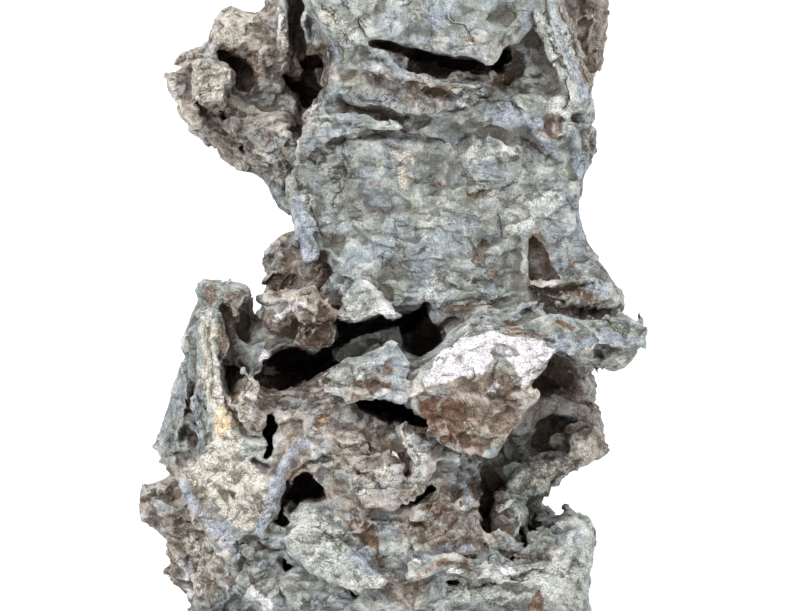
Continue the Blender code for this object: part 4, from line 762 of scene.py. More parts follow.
def spots_near(line, reach, columns, rows):
    """Numbers of the grid points in the box around a line, and the points themselves."""
    low = line.min(axis=0) - reach
    high = line.max(axis=0) + reach
    near = np.nonzero((columns > low[0]) & (columns < high[0]) & (rows > low[1]) & (rows < high[1]))[0]
    return near, np.column_stack((columns[near], rows[near]))


def inside_ovals(ovals, columns, rows, soft=0.35):
    """How far each grid point is inside any of the ovals, from 0 to their strength."""
    deepest = np.zeros(len(columns))
    for column, row, half_length, half_width, turn, strength in ovals:
        cosine = math.cos(math.radians(turn))
        sine = math.sin(math.radians(turn))
        along = (columns - column) * cosine + (rows - row) * sine
        over = (rows - row) * cosine - (columns - column) * sine
        away = np.sqrt((along / half_length) ** 2 + (over / half_width) ** 2)
        share = np.clip((1.0 + soft - away) / (2.0 * soft), 0.0, 1.0)
        deepest = np.maximum(deepest, strength * share * share * (3.0 - 2.0 * share))
    return deepest


def inside_outline(outline, columns, rows, soft=4.0):
    """How far each grid point is inside an outline, eased from 0 to 1 across its edge."""
    line = np.array(outline, float)
    share = np.zeros(len(columns))
    near, spots = spots_near(line, soft, columns, rows)
    best = np.full(len(near), np.inf)
    inside = np.zeros(len(near), bool)
    for start, end in zip(line, np.roll(line, -1, axis=0)):
        edge = end - start
        reached = spots - start
        along = np.clip(reached @ edge / (edge @ edge), 0.0, 1.0)
        away = reached - along[:, None] * edge
        best = np.minimum(best, np.hypot(away[:, 0], away[:, 1]))
        crosses = (start[1] > spots[:, 1]) != (end[1] > spots[:, 1])
        left = spots[:, 0] < start[0] + edge[0] * reached[:, 1] / (edge[1] or 1e-9)
        inside ^= crosses & left
    share[near] = np.clip(0.5 + np.where(inside, best, -best) / (2.0 * soft), 0.0, 1.0)
    return share


def link_new(name, mesh):
    """Put a mesh into the scene as a new object."""
    item = bpy.data.objects.new(name, mesh)
    bpy.context.scene.collection.objects.link(item)
    return item


def settle(item):
    """Swap an object's mesh for its evaluated one, and drop its modifiers."""
    graph = bpy.context.evaluated_depsgraph_get()
    settled = bpy.data.meshes.new_from_object(item.evaluated_get(graph))
    item.modifiers.clear()
    spent = item.data
    item.data = settled
    bpy.data.meshes.remove(spent)


def remesh(item, voxel):
    """Fuse an object's overlapping closed bodies into one even skin."""
    fuse = item.modifiers.new("fuse", "REMESH")
    fuse.mode = "VOXEL"
    fuse.voxel_size = voxel
    settle(item)


def prism(body, near, far):
    """Add a closed body between two rings of corners that match one another."""
    front = [body.verts.new(corner) for corner in near]
    rear = [body.verts.new(corner) for corner in far]
    caps = [body.faces.new(front), body.faces.new(rear[::-1])]
    for index in range(len(front)):
        body.faces.new((front[index], rear[index], rear[index - 1], front[index - 1]))
    bmesh.ops.triangulate(body, faces=caps, ngon_method="EAR_CLIP")


def add_plates(body, plates):
    """Add plates, each a prism from its sloped front to its narrower back."""
    narrowing = 0.08
    for front, back, slope_across, slope_up, outline in plates.values():
        flat = seen(front, outline)
        middle = [sum(values) / len(flat) for values in zip(*flat)]
        near = []
        far = []
        for across, up in flat:
            tilt = slope_across * (across - middle[0]) + slope_up * (up - middle[1])
            near.append((across, front * MM + tilt, up))
            far.append((across + narrowing * (middle[0] - across), back * MM,
                        up + narrowing * (middle[1] - up)))
        prism(body, near, far)


def add_hollows(body, hollows):
    """Add cutters, each a prism from the eye's side to its narrower floor, along the line of sight."""
    mouth = -62.0
    for floor, shrink, drift_across, drift_up, outline in hollows.values():
        near = seen(mouth, outline)
        deep = seen(floor, outline)
        middle = [sum(values) / len(deep) for values in zip(*deep)]
        far = []
        for across, up in deep:
            far.append((across + shrink * (middle[0] - across) + drift_across * MM, floor * MM,
                        up + shrink * (middle[1] - up) + drift_up * MM))
        prism(body, [(across, mouth * MM, up) for across, up in near], far)


def mesh_from(body, name):
    """Turn a bmesh into a mesh whose faces point out."""
    bmesh.ops.recalc_face_normals(body, faces=body.faces[:])
    mesh = bpy.data.meshes.new(name)
    body.to_mesh(mesh)
    body.free()
    return mesh


# ------------------------------------------------------------------ node trees


class Wiring:
    """Adds nodes to a tree and joins them; an input is given by its name or number."""

    def __init__(self, tree):
        self.tree = tree

    def add(self, kind, inputs=None, **settings):
        """Add a node, set its properties, and give each input a value or a link."""
        node = self.tree.nodes.new(kind)
        for name, value in settings.items():
            setattr(node, name, value)
        for name, value in (inputs or {}).items():
            if isinstance(value, bpy.types.NodeSocket):
                self.tree.links.new(value, node.inputs[name])
            else:
                node.inputs[name].default_value = value
        return node

    def math(self, operation, first, second=0.0, third=0.0):
        """A Math node's result."""
        node = self.add("ShaderNodeMath", {0: first, 1: second, 2: third}, operation=operation)
        return node.outputs[0]

    def span(self, value, low, high, to_low=0.0, to_high=1.0):
        """A value eased from one span to another, and held at its ends."""
        node = self.add("ShaderNodeMapRange", {
            "Value": value, "From Min": low, "From Max": high, "To Min": to_low, "To Max": to_high,
        }, interpolation_type="SMOOTHSTEP")
        return node.outputs[0]

    def noise(self, place, size, detail=4.0, roughness=0.55, distortion=0.0):
        """Noise from 0 to 1 whose features are about a size in metres."""
        node = self.add("ShaderNodeTexNoise", {
            "Vector": place, "Scale": 1.0 / size, "Detail": detail, "Roughness": roughness,
            "Distortion": distortion,
        })
        return node.outputs[0]

    def vector(self, operation, first, second=(0.0, 0.0, 0.0)):
        """A Vector Math node's result, a number for the dot product."""
        node = self.add("ShaderNodeVectorMath", {0: first, 1: second}, operation=operation)
        return node.outputs["Value" if operation == "DOT_PRODUCT" else "Vector"]

    def warp(self, place, size, amount):
        """Places pushed about by noise whose features are about a size."""
        swirl = self.add("ShaderNodeTexNoise", {"Vector": place, "Scale": 1.0 / size, "Detail": 2.0})
        centred = self.vector("SUBTRACT", swirl.outputs["Color"], (0.5, 0.5, 0.5))
        push = self.vector("MULTIPLY", centred, (amount, amount, amount))
        return self.vector("ADD", place, push)

    def facets(self, place, scale, slope):
        """Tilted flat facets: their height in metres, and a random tone from 0 to 1 for each."""
        cells = self.add("ShaderNodeTexVoronoi", {"Vector": place, "Scale": scale})
        offset = self.vector("SUBTRACT", place, cells.outputs["Position"])
        tilt = self.vector("SUBTRACT", cells.outputs["Color"], (0.5, 0.5, 0.5))
        tone = self.vector("DOT_PRODUCT", cells.outputs["Color"], (1.0, 0.0, 0.0))
        return self.math("MULTIPLY", self.vector("DOT_PRODUCT", offset, tilt), slope), tone

    def tint(self, share, first, second, mode="MIX"):
        """Two colours mixed by a share."""
        node = self.add("ShaderNodeMix", {0: share, 6: first, 7: second}, data_type="RGBA",
                        blend_type=mode)
        return node.outputs[2]


def open_tree(name, kind, inputs, outputs):
    """Start a node group with named inputs (name, socket type, value) and outputs."""
    tree = bpy.data.node_groups.new(name, kind)
    for label, socket, value in inputs:
        made = tree.interface.new_socket(name=label, in_out="INPUT", socket_type=socket)
        if value is not None:
            made.default_value = value
    for label, socket in outputs:
        tree.interface.new_socket(name=label, in_out="OUTPUT", socket_type=socket)
    entry = tree.nodes.new("NodeGroupInput")
    leave = tree.nodes.new("NodeGroupOutput")
    return tree, entry.outputs, leave.inputs


def run_tree(item, tree, values):
    """Apply a geometry tree to an object, with values given by input name."""
    modifier = item.modifiers.new(tree.name, "NODES")
    modifier.node_group = tree
    for socket in tree.interface.items_tree:
        if socket.item_type == "SOCKET" and socket.in_out == "INPUT" and socket.name in values:
            modifier[socket.identifier] = values[socket.name]
    settle(item)


def flake_tree():
    """Geometry Nodes that lay tilted flakes over the rough parts of a skin, along its leaves."""
    tree, entry, leave = open_tree("flakes", "GeometryNodeTree", [
        ("Geometry", "NodeSocketGeometry", None), ("Per Square Metre", "NodeSocketFloat", 12000.0),
        ("Length", "NodeSocketFloat", 0.008), ("Width", "NodeSocketFloat", 0.005),
        ("Thickness", "NodeSocketFloat", 0.0014), ("Tilt", "NodeSocketFloat", 0.45),
        ("Seed", "NodeSocketInt", 5), ("Material", "NodeSocketMaterial", None),
    ], [("Geometry", "NodeSocketGeometry")])
    wire = Wiring(tree)
    rough = wire.add("GeometryNodeInputNamedAttribute", {"Name": "rough"}, data_type="FLOAT")
    scatter = wire.add("GeometryNodeDistributePointsOnFaces", {
        "Mesh": entry["Geometry"], "Seed": entry["Seed"],
        "Density": wire.math("MULTIPLY", entry["Per Square Metre"], rough.outputs["Attribute"]),
    }, distribute_method="RANDOM")
    leaf_way = wire.add("GeometryNodeInputNamedAttribute", {"Name": "leaf_way"}, data_type="FLOAT_VECTOR")
    upright = wire.add("FunctionNodeAlignRotationToVector", {"Vector": scatter.outputs["Normal"]}, axis="Z")
    along = wire.add("FunctionNodeAlignRotationToVector", {
        "Rotation": upright.outputs[0], "Vector": leaf_way.outputs["Attribute"],
    }, axis="X", pivot_axis="Z")
    lean_back = wire.math("MULTIPLY", entry["Tilt"], -1.0)
    low = wire.add("ShaderNodeCombineXYZ", {0: lean_back, 1: wire.math("MULTIPLY", lean_back, 0.5), 2: -0.35})
    high = wire.add("ShaderNodeCombineXYZ", {
        0: entry["Tilt"], 1: wire.math("MULTIPLY", entry["Tilt"], 0.5), 2: 0.35})
    turn = wire.add("FunctionNodeRandomValue", {
        0: low.outputs[0], 1: high.outputs[0], "Seed": entry["Seed"]}, data_type="FLOAT_VECTOR")
    tipped = wire.add("FunctionNodeRotateRotation", {
        "Rotation": along.outputs[0],
        "Rotate By": wire.add("FunctionNodeEulerToRotation", {0: turn.outputs[0]}).outputs[0],
    }, rotation_space="LOCAL")
    size = wire.add("FunctionNodeRandomValue", {
        0: (0.45, 0.45, 0.6), 1: (1.35, 1.35, 1.3), "Seed": wire.math("ADD", entry["Seed"], 9.0),
    }, data_type="FLOAT_VECTOR")
    disc = wire.add("GeometryNodeMeshCylinder", {
        "Vertices": 8, "Radius": 0.5, "Depth": 1.0}, fill_type="NGON")
    shape = wire.add("ShaderNodeCombineXYZ", {0: entry["Length"], 1: entry["Width"], 2: entry["Thickness"]})
    flat = wire.add("GeometryNodeTransform", {"Geometry": disc.outputs["Mesh"], "Scale": shape.outputs[0]})
    placed = wire.add("GeometryNodeInstanceOnPoints", {
        "Points": scatter.outputs["Points"], "Instance": flat.outputs[0],
        "Rotation": tipped.outputs[0], "Scale": size.outputs[0],
    })
    solid = wire.add("GeometryNodeRealizeInstances", {0: placed.outputs[0]})
    place = wire.add("GeometryNodeInputPosition")
    ragged = wire.add("ShaderNodeTexNoise", {"Vector": place.outputs[0], "Scale": 300.0, "Detail": 2.0})
    centred = wire.add("ShaderNodeVectorMath", {0: ragged.outputs["Color"], 1: (0.5, 0.5, 0.5)},
                       operation="SUBTRACT")
    nudge = wire.add("ShaderNodeVectorMath", {0: centred.outputs[0], "Scale": 0.003}, operation="SCALE")
    broken = wire.add("GeometryNodeSetPosition", {"Geometry": solid.outputs[0], "Offset": nudge.outputs[0]})
    both = wire.add("GeometryNodeJoinGeometry")
    tree.links.new(entry["Geometry"], both.inputs[0])
    tree.links.new(broken.outputs[0], both.inputs[0])
    coated = wire.add("GeometryNodeSetMaterial", {"Geometry": both.outputs[0], "Material": entry["Material"]})
    tree.links.new(coated.outputs[0], leave["Geometry"])
    return tree


def weather_tree():
    """Geometry Nodes that push a skin in and out: lumps, tilted flakes, chips and pits."""
    tree, entry, leave = open_tree("weathering", "GeometryNodeTree", [
        ("Geometry", "NodeSocketGeometry", None), ("Lump Height", "NodeSocketFloat", 1.8 * MM),
        ("Lump Size", "NodeSocketFloat", 14.0 * MM), ("Leaf Step", "NodeSocketFloat", 1.0 * MM),
        ("Leaf Size", "NodeSocketFloat", 7.0 * MM), ("Chip Step", "NodeSocketFloat", 0.35 * MM),
        ("Chip Size", "NodeSocketFloat", 3.0 * MM), ("Pit Depth", "NodeSocketFloat", 1.2 * MM),
        ("Pit Size", "NodeSocketFloat", 5.0 * MM), ("Material", "NodeSocketMaterial", None),
    ], [("Geometry", "NodeSocketGeometry")])
    wire = Wiring(tree)
    place = wire.add("GeometryNodeInputPosition").outputs[0]
    normal = wire.add("GeometryNodeInputNormal").outputs[0]

    def named(name):
        """A stored number of the skin."""
        return wire.add("GeometryNodeInputNamedAttribute", {"Name": name},
                        data_type="FLOAT").outputs["Attribute"]

    def steps(place, size, step):
        """Height of tilted facets of a size, each on a level of its own."""
        height, tone = wire.facets(place, wire.math("DIVIDE", 1.0, size), 0.6)
        return wire.math("MULTIPLY_ADD", wire.math("SUBTRACT", tone, 0.5), step, height)

    flow = wire.warp(wire.warp(place, 30.0 * MM, 18.0 * MM), 5.0 * MM, 2.4 * MM)
    turned = wire.add("ShaderNodeVectorRotate", {
        "Vector": flow, "Axis": (0.0, 1.0, 0.0), "Angle": 0.8}, rotation_type="AXIS_ANGLE").outputs[0]
    level = steps(wire.vector("MULTIPLY", flow, (0.55, 0.8, 1.15)), entry["Leaf Size"], entry["Leaf Step"])
    steep = steps(wire.vector("MULTIPLY", flow, (1.2, 0.8, 0.38)), entry["Leaf Size"], entry["Leaf Step"])
    slant = steps(wire.vector("MULTIPLY", turned, (0.48, 0.8, 1.2)), entry["Leaf Size"], entry["Leaf Step"])
    leaves = wire.add("ShaderNodeMix", {0: named("upright"), 2: level, 3: steep}).outputs[0]
    leaves = wire.add("ShaderNodeMix", {0: named("slanted"), 2: leaves, 3: slant}).outputs[0]
    chips = steps(wire.vector("MULTIPLY", flow, (0.75, 1.0, 1.15)), entry["Chip Size"], entry["Chip Step"])
    lumps = wire.add("ShaderNodeTexNoise", {
        "Vector": place, "Scale": wire.math("DIVIDE", 1.0, entry["Lump Size"]), "Detail": 3.0,
    }).outputs[0]
    cells = wire.add("ShaderNodeTexVoronoi", {
        "Vector": flow, "Scale": wire.math("DIVIDE", 1.0, entry["Pit Size"])})
    some = wire.span(wire.vector("DOT_PRODUCT", cells.outputs["Color"], (0.0, 1.0, 0.0)), 0.55, 0.75)
    pits = wire.math("MULTIPLY", wire.span(cells.outputs["Distance"], 0.38, 0.12), some)
    rough = named("rough")
    gentle = wire.math("MULTIPLY_ADD", rough, 0.85, 0.15)
    total = wire.math("MULTIPLY_ADD", wire.math("SUBTRACT", lumps, 0.5), entry["Lump Height"],
                      wire.math("ADD", leaves, chips))
    total = wire.math("MULTIPLY", total, gentle)
    hole = wire.math("MULTIPLY", wire.math("MULTIPLY", pits, rough), entry["Pit Depth"])
    total = wire.math("MULTIPLY", wire.math("SUBTRACT", total, hole), named("free"))
    total = wire.math("ADD", total, named("carve"))
    push = wire.add("ShaderNodeVectorMath", {0: normal, "Scale": total}, operation="SCALE")
    moved = wire.add("GeometryNodeSetPosition", {"Geometry": entry["Geometry"], "Offset": push.outputs[0]})
    solid = wire.add("GeometryNodeRealizeInstances", {0: moved.outputs[0]})
    coated = wire.add("GeometryNodeSetMaterial", {
        "Geometry": solid.outputs[0], "Material": entry["Material"]})
    tree.links.new(coated.outputs[0], leave["Geometry"])
    return tree


# ------------------------------------------------------------------ carving the stone


def store_zones(mesh):
    """Store how rough each place is and which way its leaves run."""
    places = read_points(mesh)
    normals = read_normals(mesh)
    columns, rows = to_grid(places)
    front = np.clip((FACE_REACH - places[:, 1]) / FACE_FADE, 0.0, 1.0)
    front *= np.clip((0.35 - normals[:, 1]) / 0.3, 0.0, 1.0)
    rough = inside_ovals(ROUGH_ZONES, columns, rows, 0.4)
    calm = FRONT_ROUGHNESS * (1.0 - inside_ovals(SMOOTH_ZONES, columns, rows, 0.4))
    upright = inside_ovals(UPRIGHT_ZONES, columns, rows, 0.3)
    slanted = inside_ovals(SLANTED_ZONES, columns, rows, 0.3) * front
    write_values(mesh, "rough", SIDE_ROUGHNESS + front * (calm + (1.0 - calm) * rough - SIDE_ROUGHNESS))
    write_values(mesh, "upright", upright)
    write_values(mesh, "slanted", slanted * (1.0 - upright))
    way = np.array((1.0, 0.25, -0.2)) * (1.0 - upright)[:, None]
    way += np.array((0.1, 0.1, 1.0)) * upright[:, None]
    way += np.array((0.0, 0.0, -0.8)) * slanted[:, None]
    store = mesh.attributes.get("leaf_way") or mesh.attributes.new("leaf_way", "FLOAT_VECTOR", "POINT")
    store.data.foreach_set("vector", way.astype(np.float32).ravel())


def smooth_curve(points):
    """A smooth curve through grid points, as close points of its own."""
    spacing = 2.5
    ends = [points[0], *points, points[-1]]
    curve = []
    for before, start, end, after in zip(ends, ends[1:], ends[2:], ends[3:]):
        steps = max(1, round(math.dist(start, end) / spacing))
        for step in range(steps):
            t = step / steps
            curve.append(tuple(
                0.5 * (2.0 * b + (c - a) * t + (2.0 * a - 5.0 * b + 4.0 * c - d) * t * t
                       + (3.0 * b - a - 3.0 * c + d) * t ** 3)
                for a, b, c, d in zip(before, start, end, after)))
    return curve + [points[-1]]


def trace_strokes(places, strokes, skin):
    """Signed distance of each place across its nearest stroke, in half widths, and that stroke's push."""
    columns, rows = wandering_grid(places)
    over = np.full(len(places), FAR_OVER)
    push = np.zeros(len(places))
    for half_width, height, points in strokes:
        curve = smooth_curve(points)
        hits = [skin.ray_cast(EYE, sight_line(*point))[0] for point in curve]
        found = [hit.y for hit in hits if hit is not None]
        if not found:
            continue
        depths = np.array([found[0] if hit is None else hit.y for hit in hits])
        width = half_width * MM / GRID_STEP
        line = np.array(curve)
        near, spots = spots_near(line, FAR_OVER * width, columns, rows)
        best = np.full(len(near), np.inf)
        side = np.ones(len(near))
        share = np.zeros(len(near))
        for index in range(len(line) - 1):
            edge = line[index + 1] - line[index]
            reached = spots - line[index]
            along = np.clip(reached @ edge / max(edge @ edge, 1e-9), 0.0, 1.0)
            away = reached - along[:, None] * edge
            distance = np.hypot(away[:, 0], away[:, 1])
            nearer = distance < best
            best[nearer] = distance[nearer]
            side[nearer] = np.where(edge[0] * reached[:, 1] > edge[1] * reached[:, 0], 1.0, -1.0)[nearer]
            share[nearer] = ((index + along) / (len(line) - 1))[nearer]
        taper = np.clip(np.minimum(share, 1.0 - share) / 0.2, 0.3, 1.0)
        across = side * best / (width * taper)
        level = np.interp(share * (len(line) - 1), np.arange(len(line)), depths)
        taken = (np.abs(places[near, 1] - level) < STROKE_DEPTH_REACH) & (np.abs(across) < np.abs(over[near]))
        over[near[taken]] = across[taken]
        push[near[taken]] = (height * MM * taper)[taken]
    return over, push


def height_over_ground(places):
    """Height of each place above the ground."""
    turn = np.array(FACE_TO_ROW.to_3x3())
    return (places @ turn.T + np.array(FACE_TO_ROW.translation))[:, 2]


def push_about(mesh):
    """Push the skin along itself in waves, so that straight edges turn ragged, but leave its flat foot."""
    places = read_points(mesh)
    normals = read_normals(mesh)
    free = np.clip(height_over_ground(places) / (3.0 * MM), 0.0, 1.0)
    push = np.zeros_like(places)
    for seed, (size, reach) in enumerate(PUSHED_ABOUT):
        for axis in range(3):
            push[:, axis] += reach * MM * free * wobble(places, size, 40 + 3 * seed + axis)
    push -= 0.85 * np.einsum("ij,ij->i", push, normals)[:, None] * normals
    write_points(mesh, places + push)


def store_carving(mesh, skin):
    """Store how far the cracks and ribs push each place, and where the skin is free to move."""
    places = read_points(mesh)
    crack_over, crack_push = trace_strokes(places, CRACKS, skin)
    rib_over, rib_push = trace_strokes(places, RIBS, skin)
    groove = np.exp(-(crack_over / np.where(crack_over < 0.0, 0.7, 2.2)) ** 2)
    lip = 0.4 * np.exp(-((crack_over + 1.5) / 0.9) ** 2)
    fading = np.clip(0.75 + 0.6 * wobble(places, 12.0 * MM, 90), 0.15, 1.0)
    carve = 0.8 * rib_push * np.exp(-rib_over ** 2) + 0.85 * fading * crack_push * (lip - groove)
    free = np.clip((height_over_ground(places) - 0.6 * MM) / (2.0 * MM), 0.0, 1.0)
    write_values(mesh, "carve", carve * free)
    write_values(mesh, "free", free)


def store_lines(mesh, skin):
    """Store where the drawn cracks run, so that the finish can draw them sharply, with the painted shadow
    under their lips.
    """
    over = trace_strokes(read_points(mesh), CRACKS, skin)[0]
    write_values(mesh, "line_over", over)
    write_values(mesh, "line_near", np.clip(1.0 - np.abs(over) / FAR_OVER, 0.0, 1.0))


def soften(mesh, rounds):
    """Even out the flat facets of a skin without changing its size much."""
    places = read_points(mesh)
    pairs = read_edges(mesh)
    count = np.bincount(pairs.ravel(), minlength=len(places))[:, None]
    for step in range(rounds):
        pull = 0.6 if step % 2 == 0 else -0.52
        places += pull * (sum_of_neighbours(places, pairs) / count - places)
    write_points(mesh, places)


def drop_crumbs(item):
    """Keep only the largest closed skin of an object."""
    body = bmesh.new()
    body.from_mesh(item.data)
    unseen = set(body.verts)
    shells = []
    while unseen:
        stack = [unseen.pop()]
        shell = []
        while stack:
            vert = stack.pop()
            shell.append(vert)
            for edge in vert.link_edges:
                other = edge.other_vert(vert)
                if other in unseen:
                    unseen.remove(other)
                    stack.append(other)
        shells.append(shell)
    shells.sort(key=len)
    crumbs = [vert for shell in shells[:-1] for vert in shell]
    bmesh.ops.delete(body, geom=crumbs, context="VERTS")
    body.to_mesh(item.data)
    body.free()


def fuse_masses(voxel):
    """The model's body with its plates, fused and evened out, in the frame of the broad face."""
    body = bmesh.new()
    body.from_mesh(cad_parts["rock"].data)
    bmesh.ops.remove_doubles(body, verts=body.verts[:], dist=0.02 * MM)
    bmesh.ops.transform(body, matrix=FACE_TO_ROW.inverted(), verts=body.verts[:])
    add_plates(body, PLATES)
    stone = link_new("weathered_stone", mesh_from(body, "weathered_stone"))
    remesh(stone, voxel)
    soften(stone.data, SOFTENING_ROUNDS)
    return stone


def cut_hollows(stone, voxel):
    """Cut the drawn hollows out of the stone."""
    cutters = bmesh.new()
    add_hollows(cutters, HOLLOWS)
    hollow = link_new("hollows", mesh_from(cutters, "hollows"))
    remesh(hollow, voxel)
    cut = stone.modifiers.new("hollows", "BOOLEAN")
    cut.operation = "DIFFERENCE"
    cut.solver = "MANIFOLD"
    cut.object = hollow
    settle(stone)
    bpy.data.objects.remove(hollow, do_unlink=True)


def stand_inner_plates(stone, voxel):
    """Fuse the pieces that stand inside the hollows to the stone."""
    body = bmesh.new()
    body.from_mesh(stone.data)
    add_plates(body, INNER_PLATES)
    spent = stone.data
    stone.data = mesh_from(body, "weathered_stone")
    bpy.data.meshes.remove(spent)
    remesh(stone, voxel)
    drop_crumbs(stone)


def in_sight(mesh):
    """Which places of a mesh the eye sees."""
    places = read_points(mesh)
    skin = skin_tree(mesh, places)
    clearance = 0.6 * MM
    visible = np.zeros(len(places), bool)
    for index, place in enumerate(places):
        way = Vector(place) - EYE
        distance = way.length
        visible[index] = skin.ray_cast(EYE, way / distance, distance - clearance)[0] is None
    return visible


def thin_out(item, triangles):
    """Collapse the skin to a number of triangles, and keep more of them where the eye sees it."""
    places = read_points(item.data)
    columns, rows = to_grid(places)
    visible = in_sight(item.data) & (rows > FAVOURED_ROWS[0]) & (rows < FAVOURED_ROWS[1])
    hidden_front = ~visible & (places[:, 1] < FACE_REACH)
    group = item.vertex_groups.new(name="spare")
    for chosen, weight in zip((visible, hidden_front, ~visible & ~hidden_front), SPARED):
        group.add(np.nonzero(chosen)[0].tolist(), weight, "REPLACE")
    collapse = item.modifiers.new("thin out", "DECIMATE")
    collapse.ratio = triangles / sum(len(face.vertices) - 2 for face in item.data.polygons)
    collapse.vertex_group = "spare"
    collapse.vertex_group_factor = FRONT_FAVOUR
    settle(item)
    item.vertex_groups.clear()


def store_shelter(mesh):
    """Store how sheltered each place is from the open, from 0 to 1, for the painted shade in the hollows."""
    directions = 22
    reach = 26.0 * MM
    places = read_points(mesh)
    normals = read_normals(mesh)
    skin = skin_tree(mesh, places)
    golden = math.pi * (3.0 - math.sqrt(5.0))
    rays = []
    for index in range(directions):
        height = math.sqrt(1.0 - (index + 0.5) / directions)
        ring = math.sqrt(1.0 - height * height)
        rays.append(Vector((ring * math.cos(golden * index), ring * math.sin(golden * index), height)))
    shelter = np.zeros(len(places))
    for index in range(len(places)):
        normal = Vector(normals[index])
        start = Vector(places[index]) + normal * 0.15 * MM
        turn = normal.to_track_quat("Z", "Y")
        blocked = 0.0
        for ray in rays:
            distance = skin.ray_cast(start, turn @ ray, reach)[3]
            if distance is not None:
                blocked += 1.0 - 0.6 * distance / reach
        shelter[index] = blocked / directions
    columns, rows = to_grid(places)
    write_values(mesh, "shelter", shelter * (1.0 - 0.7 * inside_ovals(OPEN_ZONES, columns, rows, 0.4)))


def store_edges(mesh):
    """Store how far each place stands out from its surroundings, near and wide."""
    places = read_points(mesh)
    normals = read_normals(mesh)
    pairs = read_edges(mesh)
    count = np.bincount(pairs.ravel(), minlength=len(places))[:, None]
    spread = places.copy()
    scale = {"edge_near": (3, 0.25 * MM), "edge_wide": (24, 1.2 * MM)}
    done = 0
    for name, (rounds, height) in scale.items():
        for _ in range(rounds - done):
            spread = 0.3 * spread + 0.7 * sum_of_neighbours(spread, pairs) / count
        done = rounds
        out = np.einsum("ij,ij->i", places - spread, normals) / height
        write_values(mesh, name, np.clip(out, -1.0, 1.0))


def store_patches(mesh):
    """Store the painted patches and the warm zones of the broad face."""
    places = read_points(mesh)
    normals = read_normals(mesh)
    columns, rows = wandering_grid(places)
    front = np.clip((62.0 * MM - places[:, 1]) / (8.0 * MM), 0.0, 1.0)
    front *= np.clip((0.5 - normals[:, 1]) / 0.3, 0.0, 1.0)
    write_values(mesh, "front", front)
    write_values(mesh, "warm", inside_ovals(WARM_ZONES, columns, rows, 0.4) * front)
    for name in PATCH_FINISHES:
        mask = inside_ovals(PATCHES.get(name, []), columns, rows, 0.6)
        for strength, outline in PATCH_OUTLINES.get(name, []):
            mask = np.maximum(mask, strength * inside_outline(outline, columns, rows))
        write_values(mesh, name, mask * front)


def keep_in_box(mesh):
    """Ease every place into the CAD model's box, so that the stone still rests on its flat foot."""
    places = read_points(mesh)
    margin = 0.02 * MM
    ease = 1.2 * MM

    def eased(room):
        """Room to a wall, which never quite runs out."""
        return np.where(room < ease, ease * np.exp(np.minimum(room / ease, 1.0) - 1.0), room)

    for axis, low, high in zip(range(3), CAD_BOX[0], CAD_BOX[1]):
        along = high - margin - eased(high - margin - places[:, axis])
        if axis < 2:
            along = low + margin + eased(along - low - margin)
        places[:, axis] = np.maximum(along, low)
    write_points(mesh, places)


# ------------------------------------------------------------------ finishes


def paint(red, green, blue):
    """A colour from 0-255 screen values."""
    linear = []
    for value in (red, green, blue):
        share = value / 255.0
        linear.append(share / 12.92 if share <= 0.04045 else ((share + 0.055) / 1.055) ** 2.4)
    return (*linear, 1.0)


def ragged_patch_group():
    """A patch with a ragged, grainy edge, from a soft stored mask."""
    tree, entry, leave = open_tree("ragged patch", "ShaderNodeTree", [
        ("Mask", "NodeSocketFloat", 0.0), ("Place", "NodeSocketVector", None),
        ("Ragged", "NodeSocketFloat", 1.0), ("Size", "NodeSocketFloat", 9.0 * MM),
    ], [("Mask", "NodeSocketFloat")])
    wire = Wiring(tree)
    scale = wire.math("DIVIDE", 1.0, entry["Size"])
    noise = wire.add("ShaderNodeTexNoise", {
        "Vector": entry["Place"], "Scale": scale, "Detail": 8.0, "Roughness": 0.72, "Distortion": 0.3,
    })
    swing = wire.math("MULTIPLY", wire.math("SUBTRACT", noise.outputs[0], 0.5), entry["Ragged"])
    raised = wire.math("MULTIPLY_ADD", swing, 2.0, entry["Mask"])
    tree.links.new(wire.span(raised, 0.42, 0.60), leave["Mask"])
    return tree


def stray_patch_group():
    """Patches scattered by noise, for the sides that no patch is drawn on."""
    tree, entry, leave = open_tree("stray patch", "ShaderNodeTree", [
        ("Place", "NodeSocketVector", None), ("Offset", "NodeSocketVector", None),
        ("Size", "NodeSocketFloat", 0.02), ("Share", "NodeSocketFloat", 0.3),
    ], [("Mask", "NodeSocketFloat")])
    wire = Wiring(tree)
    shifted = wire.add("ShaderNodeVectorMath", {0: entry["Place"], 1: entry["Offset"]})
    noise = wire.add("ShaderNodeTexNoise", {
        "Vector": shifted.outputs[0], "Scale": wire.math("DIVIDE", 1.0, entry["Size"]), "Detail": 2.0,
    })
    edge = wire.math("SUBTRACT", 0.78, wire.math("MULTIPLY", entry["Share"], 0.5))
    rise = wire.math("DIVIDE", wire.math("SUBTRACT", noise.outputs[0], edge), 0.12)
    held = wire.add("ShaderNodeClamp", {0: wire.math("MULTIPLY_ADD", rise, 0.5, 0.5)})
    tree.links.new(held.outputs[0], leave["Mask"])
    return tree


